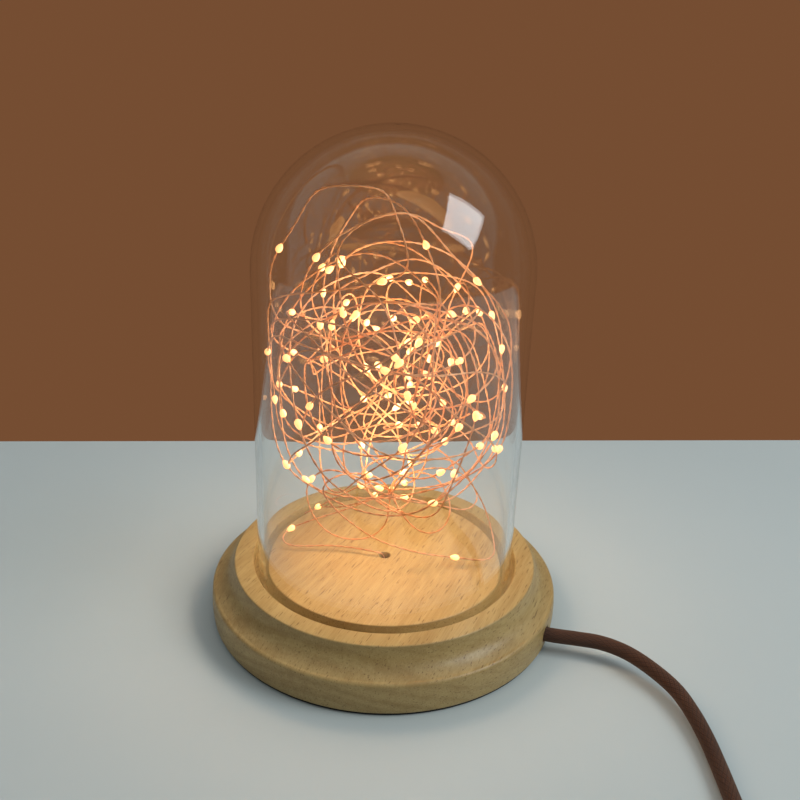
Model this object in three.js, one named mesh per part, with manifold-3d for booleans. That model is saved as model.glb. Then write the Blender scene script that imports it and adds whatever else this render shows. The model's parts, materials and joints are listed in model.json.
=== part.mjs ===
// Bedside table lamp: a turned wooden base, a clear glass dome that stands in its groove, and a string of
// small lights on thin copper wire heaped inside the dome, fed by a textile lead with a hand switch and a
// 5 V plug. Millimetres, +Z up. The origin is the middle of the underside, +X is the viewer's right.
import * as THREE from "three";
import { mergeVertices } from "three/addons/utils/BufferGeometryUtils.js";
import Module from "manifold-3d";

const wasm = await Module();
wasm.setup();

// Clearances
const SEAT_GAP = 0.2; // between a piece and what it rests on or is glued to
const FIT_GAP = 0.3; // round a piece that passes through or runs in another
const LOOP_GAP_LEAST = 0.4; // what a wound tube keeps to itself

// Sides of the round pieces
const ROUND_SIDES = 48;
const BORE_SIDES = 16;
const ROD_SIDES = 12;
const SCREW_SIDES = 10;
const CORNER_STEPS = 4; // of a quarter round in an outline

// Turned base and its pad
const PAD_THICKNESS = 1.2;
const PAD_INSET = 0.5; // of the pad's edge inside the foot
const FOOT_STEP = 0.4; // of the foot inside the edge
const BAND_BULGE = 0.3; // how far the lower band swells past the edge
const BAND_HEIGHT = 13.6;
const EDGE_ROUND = 1.6; // of the edge between the cove and the lower band
const RIM_WIDTH = 8.3; // of the flat rim outside the groove
const RIM_HEIGHT = 24; // of the rim above the wood's underside
const RIM_ROUND = 0.7;
const COVE_RUN = 9.5; // how far the edge lies outside the rim
const COVE_DEPTH = 1.9; // how far the cove sinks below a straight slope
const COVE_STEPS = 6;
const DISC_DROP = 0.5; // from the rim down to the disc inside the groove
const GROOVE_INNER_GAP = 1.7; // between the disc and the glass in the groove
const GROOVE_OUTER_GAP = 2; // between that glass and the rim
const GROOVE_DEPTH = 6;
const WIRE_HOLE_RADIUS = 2.5;
const RECESS_RADIUS = 46;
const RECESS_DEPTH = 13.6;

// Glass dome
const DOME_RADIUS = 55.2;
const DOME_HEIGHT = 189;
const GLASS_WALL = 2.5;
const DOME_LIP_ROUND = 0.8;
const CROWN_STEPS = 9;

// String of lights
const WIRE_DIAMETER = 0.8;
const WIRE_SIDES = 5;
const LOOPS = 20;
const PETALS = 4;
const POINTS_PER_LOOP = 20; // and steps of the tube
const HEAP_MIDDLE = 109; // height of the heap's middle
const HEAP_TO_GLASS = 0.6; // what the drops on the outermost loop keep to the glass
const HEAP_CORE_RADIUS = 20; // of the innermost loop
const HEAP_TURN_DEG = 67; // how far each loop's plane turns on from the one before
const TOP_STRETCH = 0.75; // how much taller the first loop stands than it is wide
const TOP_STRETCH_LOOPS = 1.6; // loops over which that dies away
const DENT = 0.05; // share by which the heap is dented here and there
const TWIST = 0.6; // radians by which the loops lean round the upright
const PETAL_RADIUS = 44;
const PETAL_FIRST_DEG = 175; // way that the first petal points, from +X
const PETAL_SPREAD_DEG = 24;
const PETAL_FIRST_HEIGHT = 36; // where the first petal leaves the upright
const PETAL_STEP = 4;
const PETAL_TIP_CLEAR = 0.3; // of the drops on a petal's tip above the disc
const DROPS = 20;
const DROP_FIRST = 0.7; // place of the first drop, in spacings of the drops
const DROP_SEARCH_STEPS = 6; // of the tube, either way, in which a drop finds the most room
const DROP_SKIP_STEPS = 2; // of the tube next to a drop, which it sits on
const DROP_LENGTH = 3.8;
const DROP_RADIUS = 1.6;
const DROP_SIDES = 6;

// Textile lead
const CORD_DIAMETER = 6;
const CORD_SIDES = 10;
const CORD_STEP = 2.4; // steps along a free stretch, in diameters
const CORD_HEIGHT_IN_WOOD = 6.6; // of the lead's hole above the wood's underside
const CORD_TURN_DEG = -14; // way that the hole points, from +X
const CORD_OFFSET = -14.5; // of the hole's axis from the middle of the base
const CORD_HOLE_GAP = 0.5;
const CORD_PAST_CLAMP = 9; // from the clamp's middle to where the sheath is stripped

// Coil of the spare length
const COIL_MIDDLE_RADIUS = 34.5;
const COIL_LAYER_TURNS = 2.875;
const COIL_CLIMB_TURNS = 0.5;
const COIL_PITCH = 6.7;
const COIL_MIDDLE = new THREE.Vector2(77, -178);
const COIL_SIDES = 6;
const COIL_STEPS_PER_TURN = 24;
const TIE_THICKNESS = 0.8;
const TIE_WIDTH = 9;
const TIE_TURN_DEG = 60;

// Wiring in the recess
const LEAD_DIAMETER = 1.6;
const LEAD_SIDES = 6;
const LEAD_STEPS = 20;
const LEAD_BEND_STEPS = 6;
const LEAD_SPACING = 2.6;
const SLEEVE_LENGTH = 13;
const SLEEVE_RADIUS = 2.6;
const SLEEVE_START = 5; // from the middle of the wire hole to the sleeve
const RESISTOR_LENGTH = 6.5;
const RESISTOR_RADIUS = 1.2;
const RESISTOR_FROM_SHEATH = 18; // from the sheath's end to the resistor's middle
const LEAD_LOOP_PAST_SLEEVE = 4; // where the leads turn back to the sleeve
const CLAMP_TO_WALL = 0.6; // of the clamp's outer corner to the recess's wall
const CLAMP_LENGTH = 8;
const CLAMP_WALL = 1.5;
const CLAMP_EAR = 7;
const SCREW_RADIUS = 1.2;
const SCREW_HEAD_RADIUS = 2.4;
const SCREW_HEAD_HEIGHT = 1.4;
const SCREW_BITE = 4.5; // of a screw in the wood

// Hand switch
const SWITCH_LENGTH = 60;
const SWITCH_WIDTH = 24;
const SWITCH_HEIGHT = 16;
const SWITCH_SPLIT = 9; // height of the joint between its halves
const SWITCH_WALL = 2;
const SWITCH_CORNER = 9;
const SWITCH_END = 31; // where the lead enters it
const ROCKER_LENGTH = 20;
const ROCKER_WIDTH = 10;
const ROCKER_DEPTH = 5.5;
const ROCKER_TILT_DEG = 10;
const ROCKER_PROUD = 1.4; // of its middle above the cover
const ROCKER_PIVOT_DROP = 3; // of its axle below the cover's top
const AXLE_RADIUS = 1.1;
const AXLE_REACH = 1.5; // of each stub into the cover
const ROCKER_SWING_ROOM = 1; // past each end of the rocker as it tilts
const TERMINAL_LENGTH = 8;
const TERMINAL_WIDTH = 5;
const TERMINAL_HEIGHT = 4;
const TERMINAL_PLACE = 19;
const SWITCH_SCREW_PLACE = 10;

// Plug
const PLUG_START = -30;
const PLUG_LINE = -158;
const BOOT_LENGTH = 15;
const BOOT_WIDE_RADIUS = 3.9;
const BOOT_NARROW_RADIUS = 3.3;
const PLUG_BODY_LENGTH = 20;
const PLUG_BODY_WIDTH = 16;
const PLUG_BODY_HEIGHT = 8;
const PLUG_CORNER = 2;
const SHELL_LENGTH = 18;
const SHELL_WIDTH = 12;
const SHELL_HEIGHT = 4.5;
const SHELL_WALL = 0.5;
const SHELL_IN_BODY = 5;
const TONGUE_HEIGHT = 1.8;
const TONGUE_SETBACK = 1; // of its front end behind the shell's mouth
const CONTACTS = 4;
const CONTACT_PITCH = 2.2;
const CONTACT_WIDTH = 1.1;
const CONTACT_THICKNESS = 0.4;
const CONTACT_LENGTH = 8;

// Heights and radii that follow from the sizes above
const domeInnerRadius = DOME_RADIUS - GLASS_WALL;
const discRadius = domeInnerRadius - GROOVE_INNER_GAP;
const grooveOuter = DOME_RADIUS + GROOVE_OUTER_GAP;
const rimRadius = grooveOuter + RIM_WIDTH;
const baseRadius = rimRadius + COVE_RUN;
const footRadius = baseRadius - FOOT_STEP;
const padRadius = footRadius - PAD_INSET;
const woodBottom = PAD_THICKNESS + SEAT_GAP;
const edgeHeight = woodBottom + BAND_HEIGHT;
const rimTop = woodBottom + RIM_HEIGHT;
const discTop = rimTop - DISC_DROP;
const grooveFloor = rimTop - GROOVE_DEPTH;
const recessTop = woodBottom + RECESS_DEPTH;
const domeBottom = grooveFloor + SEAT_GAP;
const cordRadius = CORD_DIAMETER / 2;
const cordAxisHeight = woodBottom + CORD_HEIGHT_IN_WOOD;
const wireRadius = WIRE_DIAMETER / 2;
const heapRadius = domeInnerRadius - HEAP_TO_GLASS - DROP_RADIUS;
const radians = THREE.MathUtils.degToRad;

const WOOD = { color: 0xb99a5e, roughness: 0.45, metalness: 0 };
const FELT = { color: 0x151515, roughness: 0.95, metalness: 0 };
const GLASS = { color: 0xf4f8f8, roughness: 0.02, metalness: 0, transparent: true, opacity: 0.25 };
const COPPER = { color: 0xb87042, roughness: 0.3, metalness: 1 };
const DROP = { color: 0xffd9a0, roughness: 0.15, metalness: 0, emissive: 0xffb45a };
const TEXTILE = { color: 0x4b2712, roughness: 0.85, metalness: 0 };
const BLACK_PLASTIC = { color: 0x1b1b1c, roughness: 0.4, metalness: 0 };
const WHITE_PLASTIC = { color: 0xe9e9e4, roughness: 0.5, metalness: 0 };
const STEEL = { color: 0xc9c9c9, roughness: 0.3, metalness: 1 };
const BRASS = { color: 0xd0a850, roughness: 0.3, metalness: 1 };
const RED_SHEATH = { color: 0xa81616, roughness: 0.5, metalness: 0 };
const BLACK_SHEATH = { color: 0x121212, roughness: 0.5, metalness: 0 };

const lamp = new THREE.Group();

// A named mesh with its own material, added to a group.
function addPiece(name, geometry, finish, group = lamp) {
  const mesh = new THREE.Mesh(geometry, new THREE.MeshStandardMaterial(finish));
  mesh.name = name;
  group.add(mesh);
  return mesh;
}

// A closed geometry as a solid that can be joined and cut.
function toSolid(geometry) {
  const bare = geometry.clone();
  for (const attribute of Object.keys(bare.attributes)) {
    if (attribute !== "position") bare.deleteAttribute(attribute);
  }
  const merged = mergeVertices(bare, 1e-4);
  const vertProperties = new Float32Array(merged.attributes.position.array);
  const triVerts = new Uint32Array(merged.index.array);
  return new wasm.Manifold(new wasm.Mesh({ numProp: 3, vertProperties, triVerts }));
}

// A solid back as a geometry.
function toGeometry(solid) {
  const mesh = solid.getMesh();
  const position = new THREE.BufferAttribute(new Float32Array(mesh.vertProperties), 3);
  const geometry = new THREE.BufferGeometry();
  geometry.setAttribute("position", position);
  geometry.setIndex(new THREE.BufferAttribute(new Uint32Array(mesh.triVerts), 1));
  geometry.computeVertexNormals();
  return geometry;
}

// One geometry with others cut out of it.
function cut(geometry, ...tools) {
  let solid = toSolid(geometry);
  for (const tool of tools) solid = solid.subtract(toSolid(tool));
  return toGeometry(solid);
}

// Geometries joined into one.
function join(geometry, ...others) {
  let solid = toSolid(geometry);
  for (const other of others) solid = solid.add(toSolid(other));
  return toGeometry(solid);
}

// A profile of radius and height, turned round the upright.
function turned(profile, sides = ROUND_SIDES) {
  const points = profile.map(([radius, height]) => new THREE.Vector2(radius, height));
  return new THREE.LatheGeometry(points, sides).rotateX(Math.PI / 2);
}

// An upright cylinder from one height to another.
function upright(radius, low, high, sides = ROD_SIDES) {
  const cylinder = new THREE.CylinderGeometry(radius, radius, high - low, sides).rotateX(Math.PI / 2);
  return cylinder.translate(0, 0, (low + high) / 2);
}

// A cylinder, or a cone where the radii differ, along X from one place to another.
function alongX(startRadius, endRadius, start, end, sides = ROD_SIDES) {
  const cylinder = new THREE.CylinderGeometry(endRadius, startRadius, end - start, sides);
  return cylinder.rotateZ(-Math.PI / 2).translate((start + end) / 2, 0, 0);
}

// A box from its low corner to its high corner.
function block(low, high) {
  const size = high.map((value, axis) => value - low[axis]);
  const middle = high.map((value, axis) => (value + low[axis]) / 2);
  return new THREE.BoxGeometry(...size).translate(...middle);
}

// Points of an arc in a profile, from one angle to another, with radii that may differ.
function arc(centre, radii, startDeg, endDeg, steps) {
  const points = [];
  for (let step = 0; step <= steps; step += 1) {
    const angle = radians(startDeg + ((endDeg - startDeg) * step) / steps);
    points.push([centre[0] + radii[0] * Math.cos(angle), centre[1] + radii[1] * Math.sin(angle)]);
  }
  return points;
}

// A regular outline, the section of a tube.
function ringShape(radius, sides) {
  const shape = new THREE.Shape();
  for (let side = 0; side < sides; side += 1) {
    const angle = (2 * Math.PI * side) / sides;
    const x = radius * Math.cos(angle);
    const y = radius * Math.sin(angle);
    if (side === 0) shape.moveTo(x, y);
    else shape.lineTo(x, y);
  }
  shape.closePath();
  return shape;
}

// A rectangle with rounded corners about the origin, as an outline.
function roundedShape(length, width, corner, Outline = THREE.Shape) {
  const x = length / 2;
  const y = width / 2;
  const outline = new Outline();
  outline.moveTo(-x + corner, -y);
  outline.lineTo(x - corner, -y);
  outline.absarc(x - corner, -y + corner, corner, -Math.PI / 2, 0);
  outline.lineTo(x, y - corner);
  outline.absarc(x - corner, y - corner, corner, 0, Math.PI / 2);
  outline.lineTo(-x + corner, y);
  outline.absarc(-x + corner, y - corner, corner, Math.PI / 2, Math.PI);
  outline.lineTo(-x, -y + corner);
  outline.absarc(-x + corner, -y + corner, corner, Math.PI, 1.5 * Math.PI);
  return outline;
}

// An outline raised from one height to another.
function raised(shape, low, high, curveSegments = CORNER_STEPS) {
  const options = { depth: high - low, bevelEnabled: false, curveSegments };
  return new THREE.ExtrudeGeometry(shape, options).translate(0, 0, low);
}

// One tube with closed ends along a curve.
function tube(curve, radius, sides, steps) {
  const options = { extrudePath: curve, steps, bevelEnabled: false };
  return new THREE.ExtrudeGeometry(ringShape(radius, sides), options);
}

// A smooth curve through points that are given as rows of three numbers.
function curveThrough(rows) {
  const points = rows.map((row) => (row.isVector3 ? row : new THREE.Vector3(...row)));
  const curve = new THREE.CatmullRomCurve3(points, false, "centripetal");
  curve.arcLengthDivisions = 40 * points.length;
  return curve;
}

// The least gap that a tube keeps to itself: the least distance between the middles of two stretches
// that lie further apart along the tube than a few diameters, less one diameter.
function leastGap(curve, diameter, samples) {
  const points = curve.getSpacedPoints(samples);
  const apart = Math.ceil((4 * diameter * samples) / curve.getLength()) + 1;
  let least = Infinity;
  for (let i = 0; i < points.length; i += 1) {
    for (let j = i + apart; j < points.length; j += 1) {
      least = Math.min(least, points[i].distanceToSquared(points[j]));
    }
  }
  return Math.sqrt(least) - diameter;
}

// Prints a wound tube's least gap to itself.
function reportGap(name, curve, diameter, samples) {
  const gap = leastGap(curve, diameter, samples);
  const verdict = gap > LOOP_GAP_LEAST ? "clear" : "too close";
  console.log(`${name}: least gap to itself ${gap.toFixed(2)} mm, ${verdict}`);
}

// Turned wooden base: a lower band that swells a little, a rounded edge, a cove up to the flat rim, the
// groove for the glass, the disc inside it, and a recess for the wiring below.
const bandMiddle = (woodBottom + edgeHeight) / 2;
const edgeCentre = [baseRadius - EDGE_ROUND, edgeHeight - EDGE_ROUND];
const bandProfile = [
  [footRadius, woodBottom],
  [baseRadius, woodBottom + EDGE_ROUND],
  [baseRadius + BAND_BULGE, bandMiddle],
  ...arc(edgeCentre, [EDGE_ROUND, EDGE_ROUND], 0, 45, 1),
];
const coveStart = [edgeCentre[0], edgeHeight];
const coveEnd = [rimRadius, rimTop - RIM_ROUND];
const coveProfile = [];
for (let step = 0; step <= COVE_STEPS; step += 1) {
  const share = step / COVE_STEPS;
  const sink = COVE_DEPTH * Math.sin(Math.PI * share);
  const run = Math.hypot(coveEnd[0] - coveStart[0], coveEnd[1] - coveStart[1]);
  const slope = [(coveEnd[0] - coveStart[0]) / run, (coveEnd[1] - coveStart[1]) / run];
  coveProfile.push([
    coveStart[0] + share * run * slope[0] - sink * slope[1],
    coveStart[1] + share * run * slope[1] + sink * slope[0],
  ]);
}
const woodProfile = [
  [0, recessTop],
  [RECESS_RADIUS, recessTop],
  [RECESS_RADIUS, woodBottom],
  ...bandProfile,
  ...coveProfile,
  [rimRadius - RIM_ROUND, rimTop],
  [grooveOuter, rimTop],
  [grooveOuter, grooveFloor],
  [discRadius, grooveFloor],
  [discRadius, discTop],
  [0, discTop],
];
const saddleInner = cordRadius + FIT_GAP;
const saddleOuter = saddleInner + CLAMP_WALL;
const earReach = Math.abs(CORD_OFFSET) + saddleOuter + CLAMP_EAR;
const clampEnd = Math.sqrt((RECESS_RADIUS - CLAMP_TO_WALL) ** 2 - earReach ** 2);
const clampPlace = clampEnd - CLAMP_LENGTH / 2;
const cordHoleRadius = cordRadius + CORD_HOLE_GAP;
const wireHole = upright(WIRE_HOLE_RADIUS, woodBottom, rimTop + SEAT_GAP, BORE_SIDES);
const cordHole = alongX(cordHoleRadius, cordHoleRadius, RECESS_RADIUS / 2, baseRadius + CORD_DIAMETER);
cordHole.translate(0, CORD_OFFSET, cordAxisHeight).rotateZ(radians(CORD_TURN_DEG));
const clampScrewSpan = 2 * saddleOuter + CLAMP_EAR;
const screwTop = recessTop + SCREW_BITE;
const pilotHoles = [-1, 1].map((side) => {
  const hole = upright(SCREW_RADIUS + FIT_GAP, recessTop - SEAT_GAP, screwTop + FIT_GAP, SCREW_SIDES);
  hole.translate(clampPlace, CORD_OFFSET + (side * clampScrewSpan) / 2, 0);
  return hole.rotateZ(radians(CORD_TURN_DEG));
});
addPiece("wood_base", cut(turned(woodProfile), wireHole, cordHole, ...pilotHoles), WOOD);
addPiece("base_pad", upright(padRadius, 0, PAD_THICKNESS, ROUND_SIDES), FELT);

// Glass dome: a straight wall under a half round crown, open below, with a rounded lip.
const domeTop = domeBottom + DOME_HEIGHT;
const crownHeight = domeTop - DOME_RADIUS;
const domeProfile = [
  [domeInnerRadius, domeBottom + DOME_LIP_ROUND],
  [domeInnerRadius + DOME_LIP_ROUND, domeBottom],
  [DOME_RADIUS - DOME_LIP_ROUND, domeBottom],
  [DOME_RADIUS, domeBottom + DOME_LIP_ROUND],
  ...arc([0, crownHeight], [DOME_RADIUS, DOME_RADIUS], 0, 90, CROWN_STEPS),
  ...arc([0, crownHeight], [domeInnerRadius, domeInnerRadius], 90, 0, CROWN_STEPS),
  [domeInnerRadius, domeBottom + DOME_LIP_ROUND],
];
addPiece("glass_dome", turned(domeProfile), GLASS);

// Route of the copper wire: from the sleeve in the recess up through the hole, round the petals on the
// disc, then loop by loop round the heap from its outside to its core. Each loop runs from the foot of
// the heap over its top and back, in a plane that turns on all the time.
const recessTurn = radians(CORD_TURN_DEG);
function recessPoint(x, y, z) {
  return new THREE.Vector3(x, y, z).applyAxisAngle(new THREE.Vector3(0, 0, 1), recessTurn);
}
function petalPoint(petal, share) {
  const turn = 2 * Math.PI * share;
  const out = (1 - Math.cos(turn)) / 2;
  const azimuth = radians(PETAL_FIRST_DEG + (360 * petal) / PETALS + PETAL_SPREAD_DEG * Math.sin(turn));
  const heightAtUpright = PETAL_FIRST_HEIGHT + PETAL_STEP * (petal + share);
  const tipHeight = discTop + PETAL_TIP_CLEAR + DROP_RADIUS;
  return new THREE.Vector3(
    PETAL_RADIUS * out * Math.cos(azimuth),
    PETAL_RADIUS * out * Math.sin(azimuth),
    heightAtUpright + (tipHeight - heightAtUpright) * out,
  );
}
function heapPoint(loops) {
  const angle = 2 * Math.PI * loops;
  const radius = heapRadius + ((HEAP_CORE_RADIUS - heapRadius) * loops) / LOOPS;
  const up = -Math.cos(angle);
  const plane = radians(HEAP_TURN_DEG) * loops + TWIST * Math.sin(2 * up);
  const across = Math.sin(angle) * Math.cos(plane);
  const away = Math.sin(angle) * Math.sin(plane);
  const dented = radius * (1 - DENT * (1 + Math.sin(4 * across + 3 * up) * Math.cos(3 * away)));
  const stretch = up > 0 ? 1 + TOP_STRETCH * Math.exp(-loops / TOP_STRETCH_LOOPS) * up : 1;
  return new THREE.Vector3(dented * across, dented * away, HEAP_MIDDLE + dented * up * stretch);
}
const wireStart = -SLEEVE_START + SEAT_GAP;
const wireBend = SLEEVE_START - SEAT_GAP - 2 * WIRE_DIAMETER;
const wireBendPoints = arc([-wireBend, cordAxisHeight + wireBend], [wireBend, wireBend], -90, 0, 2);
const wirePoints = [
  recessPoint(wireStart, 0, cordAxisHeight),
  ...wireBendPoints.map(([x, z]) => recessPoint(x, 0, z)),
  new THREE.Vector3(0, 0, recessTop),
  new THREE.Vector3(0, 0, discTop),
];
for (let petal = 0; petal < PETALS; petal += 1) {
  for (let point = 0; point < POINTS_PER_LOOP; point += 1) {
    wirePoints.push(petalPoint(petal, point / POINTS_PER_LOOP));
  }
}
for (let point = 0; point <= LOOPS * POINTS_PER_LOOP; point += 1) {
  wirePoints.push(heapPoint(point / POINTS_PER_LOOP));
}
const wireCurve = curveThrough(wirePoints);
const wireSteps = (LOOPS + PETALS) * POINTS_PER_LOOP;
addPiece("light_string", tube(wireCurve, wireRadius, WIRE_SIDES, wireSteps), COPPER);
reportGap("light_string", wireCurve, WIRE_DIAMETER, 6 * wireSteps);

// Light drops: beads of clear resin round the wire, each on the straight middle of one of its steps. A
// drop sits on the step near its even place that keeps furthest from the wire's other stretches.
const dropBore = wireRadius + FIT_GAP;
const dropProfile = [
  [dropBore, -DROP_LENGTH / 2],
  [DROP_RADIUS, -DROP_LENGTH / 6],
  [DROP_RADIUS, DROP_LENGTH / 6],
  [dropBore, DROP_LENGTH / 2],
  [dropBore, -DROP_LENGTH / 2],
];
const wireStations = wireCurve.getSpacedPoints(wireSteps);
const stepAt = (station) => new THREE.Line3(wireStations[station], wireStations[station + 1]);
function roomRound(station) {
  const middle = stepAt(station).getCenter(new THREE.Vector3());
  const nearest = new THREE.Vector3();
  let room = Infinity;
  for (let other = 0; other < wireSteps; other += 1) {
    if (Math.abs(other - station) <= DROP_SKIP_STEPS) continue;
    stepAt(other).closestPointToPoint(middle, true, nearest);
    room = Math.min(room, middle.distanceTo(nearest));
  }
  return room;
}
for (let drop = 0; drop < DROPS; drop += 1) {
  const even = Math.round(((drop + DROP_FIRST) * wireSteps) / DROPS);
  let station = even;
  for (let shift = -DROP_SEARCH_STEPS; shift <= DROP_SEARCH_STEPS; shift += 1) {
    const tried = THREE.MathUtils.clamp(even + shift, DROP_SKIP_STEPS, wireSteps - 1);
    if (roomRound(tried) > roomRound(station)) station = tried;
  }
  const ahead = wireStations[station + 1].clone().sub(wireStations[station]);
  const name = `led_drop_${String(drop + 1).padStart(2, "0")}`;
  const bead = addPiece(name, turned(dropProfile, DROP_SIDES), DROP);
  bead.position.copy(wireStations[station]).addScaledVector(ahead, 0.5);
  bead.quaternion.setFromUnitVectors(new THREE.Vector3(0, 0, 1), ahead.normalize());
}

// Wiring in the recess, along the lead's own axis: a saddle clamps the lead to the wood, its two
// conductors run to a sleeve over the joints with the copper wire, one of them through a resistor.
const recess = new THREE.Group();
recess.rotation.z = recessTurn;
lamp.add(recess);
const saddleEarTop = recessTop - SEAT_GAP;
const saddleEarLow = saddleEarTop - CLAMP_WALL;
const saddleShape = new THREE.Shape();
saddleShape.moveTo(-saddleOuter - CLAMP_EAR, saddleEarTop);
saddleShape.lineTo(-saddleInner, saddleEarTop);
saddleShape.lineTo(-saddleInner, cordAxisHeight);
saddleShape.absarc(0, cordAxisHeight, saddleInner, Math.PI, 2 * Math.PI);
saddleShape.lineTo(saddleInner, saddleEarTop);
saddleShape.lineTo(saddleOuter + CLAMP_EAR, saddleEarTop);
saddleShape.lineTo(saddleOuter + CLAMP_EAR, saddleEarLow);
saddleShape.lineTo(saddleOuter, saddleEarLow);
saddleShape.lineTo(saddleOuter, cordAxisHeight);
saddleShape.absarc(0, cordAxisHeight, saddleOuter, 2 * Math.PI, Math.PI, true);
saddleShape.lineTo(-saddleOuter, saddleEarLow);
saddleShape.lineTo(-saddleOuter - CLAMP_EAR, saddleEarLow);
saddleShape.closePath();
const saddle = raised(saddleShape, -CLAMP_LENGTH / 2, CLAMP_LENGTH / 2);
saddle.rotateX(Math.PI / 2).rotateZ(Math.PI / 2).translate(clampPlace, CORD_OFFSET, 0);
const earHoles = [-1, 1].map((side) => {
  const [low, high] = [saddleEarLow - CLAMP_WALL, saddleEarTop + CLAMP_WALL];
  const hole = upright(SCREW_RADIUS + FIT_GAP, low, high, SCREW_SIDES);
  return hole.translate(clampPlace, CORD_OFFSET + (side * clampScrewSpan) / 2, 0);
});
addPiece("cord_clamp", cut(saddle, ...earHoles), WHITE_PLASTIC, recess);
[-1, 1].forEach((side, index) => {
  const headTop = saddleEarLow - SEAT_GAP;
  const shank = upright(SCREW_RADIUS, headTop - SCREW_HEAD_HEIGHT / 2, screwTop, SCREW_SIDES);
  const head = upright(SCREW_HEAD_RADIUS, headTop - SCREW_HEAD_HEIGHT, headTop);
  const screw = addPiece(`clamp_screw_${index + 1}`, join(shank, head), STEEL, recess);
  screw.position.set(clampPlace, CORD_OFFSET + (side * clampScrewSpan) / 2, 0);
});
const sleeveEnd = -SLEEVE_START - SLEEVE_LENGTH;
const sleeve = alongX(SLEEVE_RADIUS, SLEEVE_RADIUS, sleeveEnd, -SLEEVE_START);
addPiece("splice_sleeve", sleeve.translate(0, 0, cordAxisHeight), BLACK_PLASTIC, recess);

// A conductor's run from one place along the lead's axis, round the bend and back to the sleeve.
const leadLoopPlace = sleeveEnd - LEAD_LOOP_PAST_SLEEVE;
function leadRun(side, start) {
  const near = CORD_OFFSET + (side * LEAD_SPACING) / 2;
  const far = (-side * LEAD_SPACING) / 2;
  const bendRadius = (far - near) / 2;
  const rows = [
    [start, near, cordAxisHeight],
    [(start + leadLoopPlace) / 2, near, cordAxisHeight],
  ];
  for (let step = 0; step <= LEAD_BEND_STEPS; step += 1) {
    const angle = (Math.PI * step) / LEAD_BEND_STEPS;
    const x = leadLoopPlace - bendRadius * Math.sin(angle);
    rows.push([x, near + bendRadius * (1 - Math.cos(angle)), cordAxisHeight]);
  }
  rows.push([sleeveEnd - SEAT_GAP, far, cordAxisHeight]);
  return curveThrough(rows);
}
const leadRadius = LEAD_DIAMETER / 2;
const cordInnerEnd = clampPlace - CORD_PAST_CLAMP;
const strippedEnd = cordInnerEnd - SEAT_GAP;
const resistorPlace = cordInnerEnd - RESISTOR_FROM_SHEATH;
const resistorStart = resistorPlace - RESISTOR_LENGTH / 2;
const resistorEnd = resistorPlace + RESISTOR_LENGTH / 2;
const positiveLine = CORD_OFFSET + LEAD_SPACING / 2;
const negativeRun = leadRun(-1, strippedEnd);
addPiece("lead_negative", tube(negativeRun, leadRadius, LEAD_SIDES, LEAD_STEPS), BLACK_SHEATH, recess);
const positiveRun = leadRun(1, resistorStart - SEAT_GAP);
addPiece("lead_positive_inner", tube(positiveRun, leadRadius, LEAD_SIDES, LEAD_STEPS), RED_SHEATH, recess);
const resistor = alongX(RESISTOR_RADIUS, RESISTOR_RADIUS, resistorStart, resistorEnd);
addPiece("series_resistor", resistor.translate(0, positiveLine, cordAxisHeight), BLACK_PLASTIC, recess);
const outerLead = alongX(leadRadius, leadRadius, resistorEnd + SEAT_GAP, strippedEnd, LEAD_SIDES);
addPiece("lead_positive_outer", outerLead.translate(0, positiveLine, cordAxisHeight), RED_SHEATH, recess);

// Route of the textile lead: out of the wood, down to the table and along it to the coil, from the coil
// to the switch, and from the switch round to the plug.
const coilOuterRadius = COIL_MIDDLE_RADIUS + (COIL_PITCH * COIL_LAYER_TURNS) / 2;
const coilLowHeight = TIE_THICKNESS + FIT_GAP + cordRadius;
const coilHighHeight = coilLowHeight + COIL_PITCH;
const coilStart = [COIL_MIDDLE.x + coilOuterRadius, COIL_MIDDLE.y + CORD_DIAMETER];
const coilEnd = [COIL_MIDDLE.x - CORD_DIAMETER, COIL_MIDDLE.y - coilOuterRadius];
const switchAxisHeight = SWITCH_HEIGHT / 2;
const runInWood = [cordInnerEnd, 35, 46, 58, 68, 78];
const cordRunPoints = [
  ...runInWood.map((x) => recessPoint(x, CORD_OFFSET, cordAxisHeight)),
  [81, -34.6, 8],
  [90.4, -36.6, 7.8],
  [99.9, -41.8, 7.3],
  [108.4, -50.9, 6.5],
  [115.3, -62, 5.5],
  [118.7, -73.6, 4.5],
  [120.5, -85.9, 3.6],
  [121.1, -99.5, 3.1],
  [121.1, -114.6, 3.1],
  [121.1, -132, 3.3],
  [coilStart[0], -152, coilLowHeight - 0.2],
  [coilStart[0], coilStart[1] + 9, coilLowHeight],
  [coilStart[0], coilStart[1] + SEAT_GAP, coilLowHeight],
];
const cordTailPoints = [
  [coilEnd[0] - SEAT_GAP, coilEnd[1], coilHighHeight],
  [coilEnd[0] - 9, coilEnd[1], coilHighHeight],
  [52, coilEnd[1], 9.4],
  [SWITCH_END + 9, coilEnd[1], switchAxisHeight],
  [SWITCH_END + SEAT_GAP, coilEnd[1], switchAxisHeight],
];
const plugAxisHeight = PLUG_BODY_HEIGHT / 2;
const switchFar = SWITCH_END - SWITCH_LENGTH;
const plugCordPoints = [
  [switchFar - SEAT_GAP, coilEnd[1], switchAxisHeight],
  [switchFar - 6, coilEnd[1], 7.8],
  [switchFar - 16, coilEnd[1] + 0.8, 5.6],
  [switchFar - 28, -217, 3.6],
  [-67, -207, 3.1],
  [-73, -192, 3.1],
  [-71, -176, 3.1],
  [-62, -164.5, 3.2],
  [-50, -159.3, 3.6],
  [-40, PLUG_LINE, plugAxisHeight],
  [PLUG_START - SEAT_GAP, PLUG_LINE, plugAxisHeight],
];
function addCord(name, rows) {
  const curve = curveThrough(rows);
  const steps = Math.ceil(curve.getLength() / (CORD_STEP * CORD_DIAMETER));
  addPiece(name, tube(curve, cordRadius, CORD_SIDES, steps), TEXTILE);
  console.log(`${name}: ${curve.getLength().toFixed(0)} mm long`);
}
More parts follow.
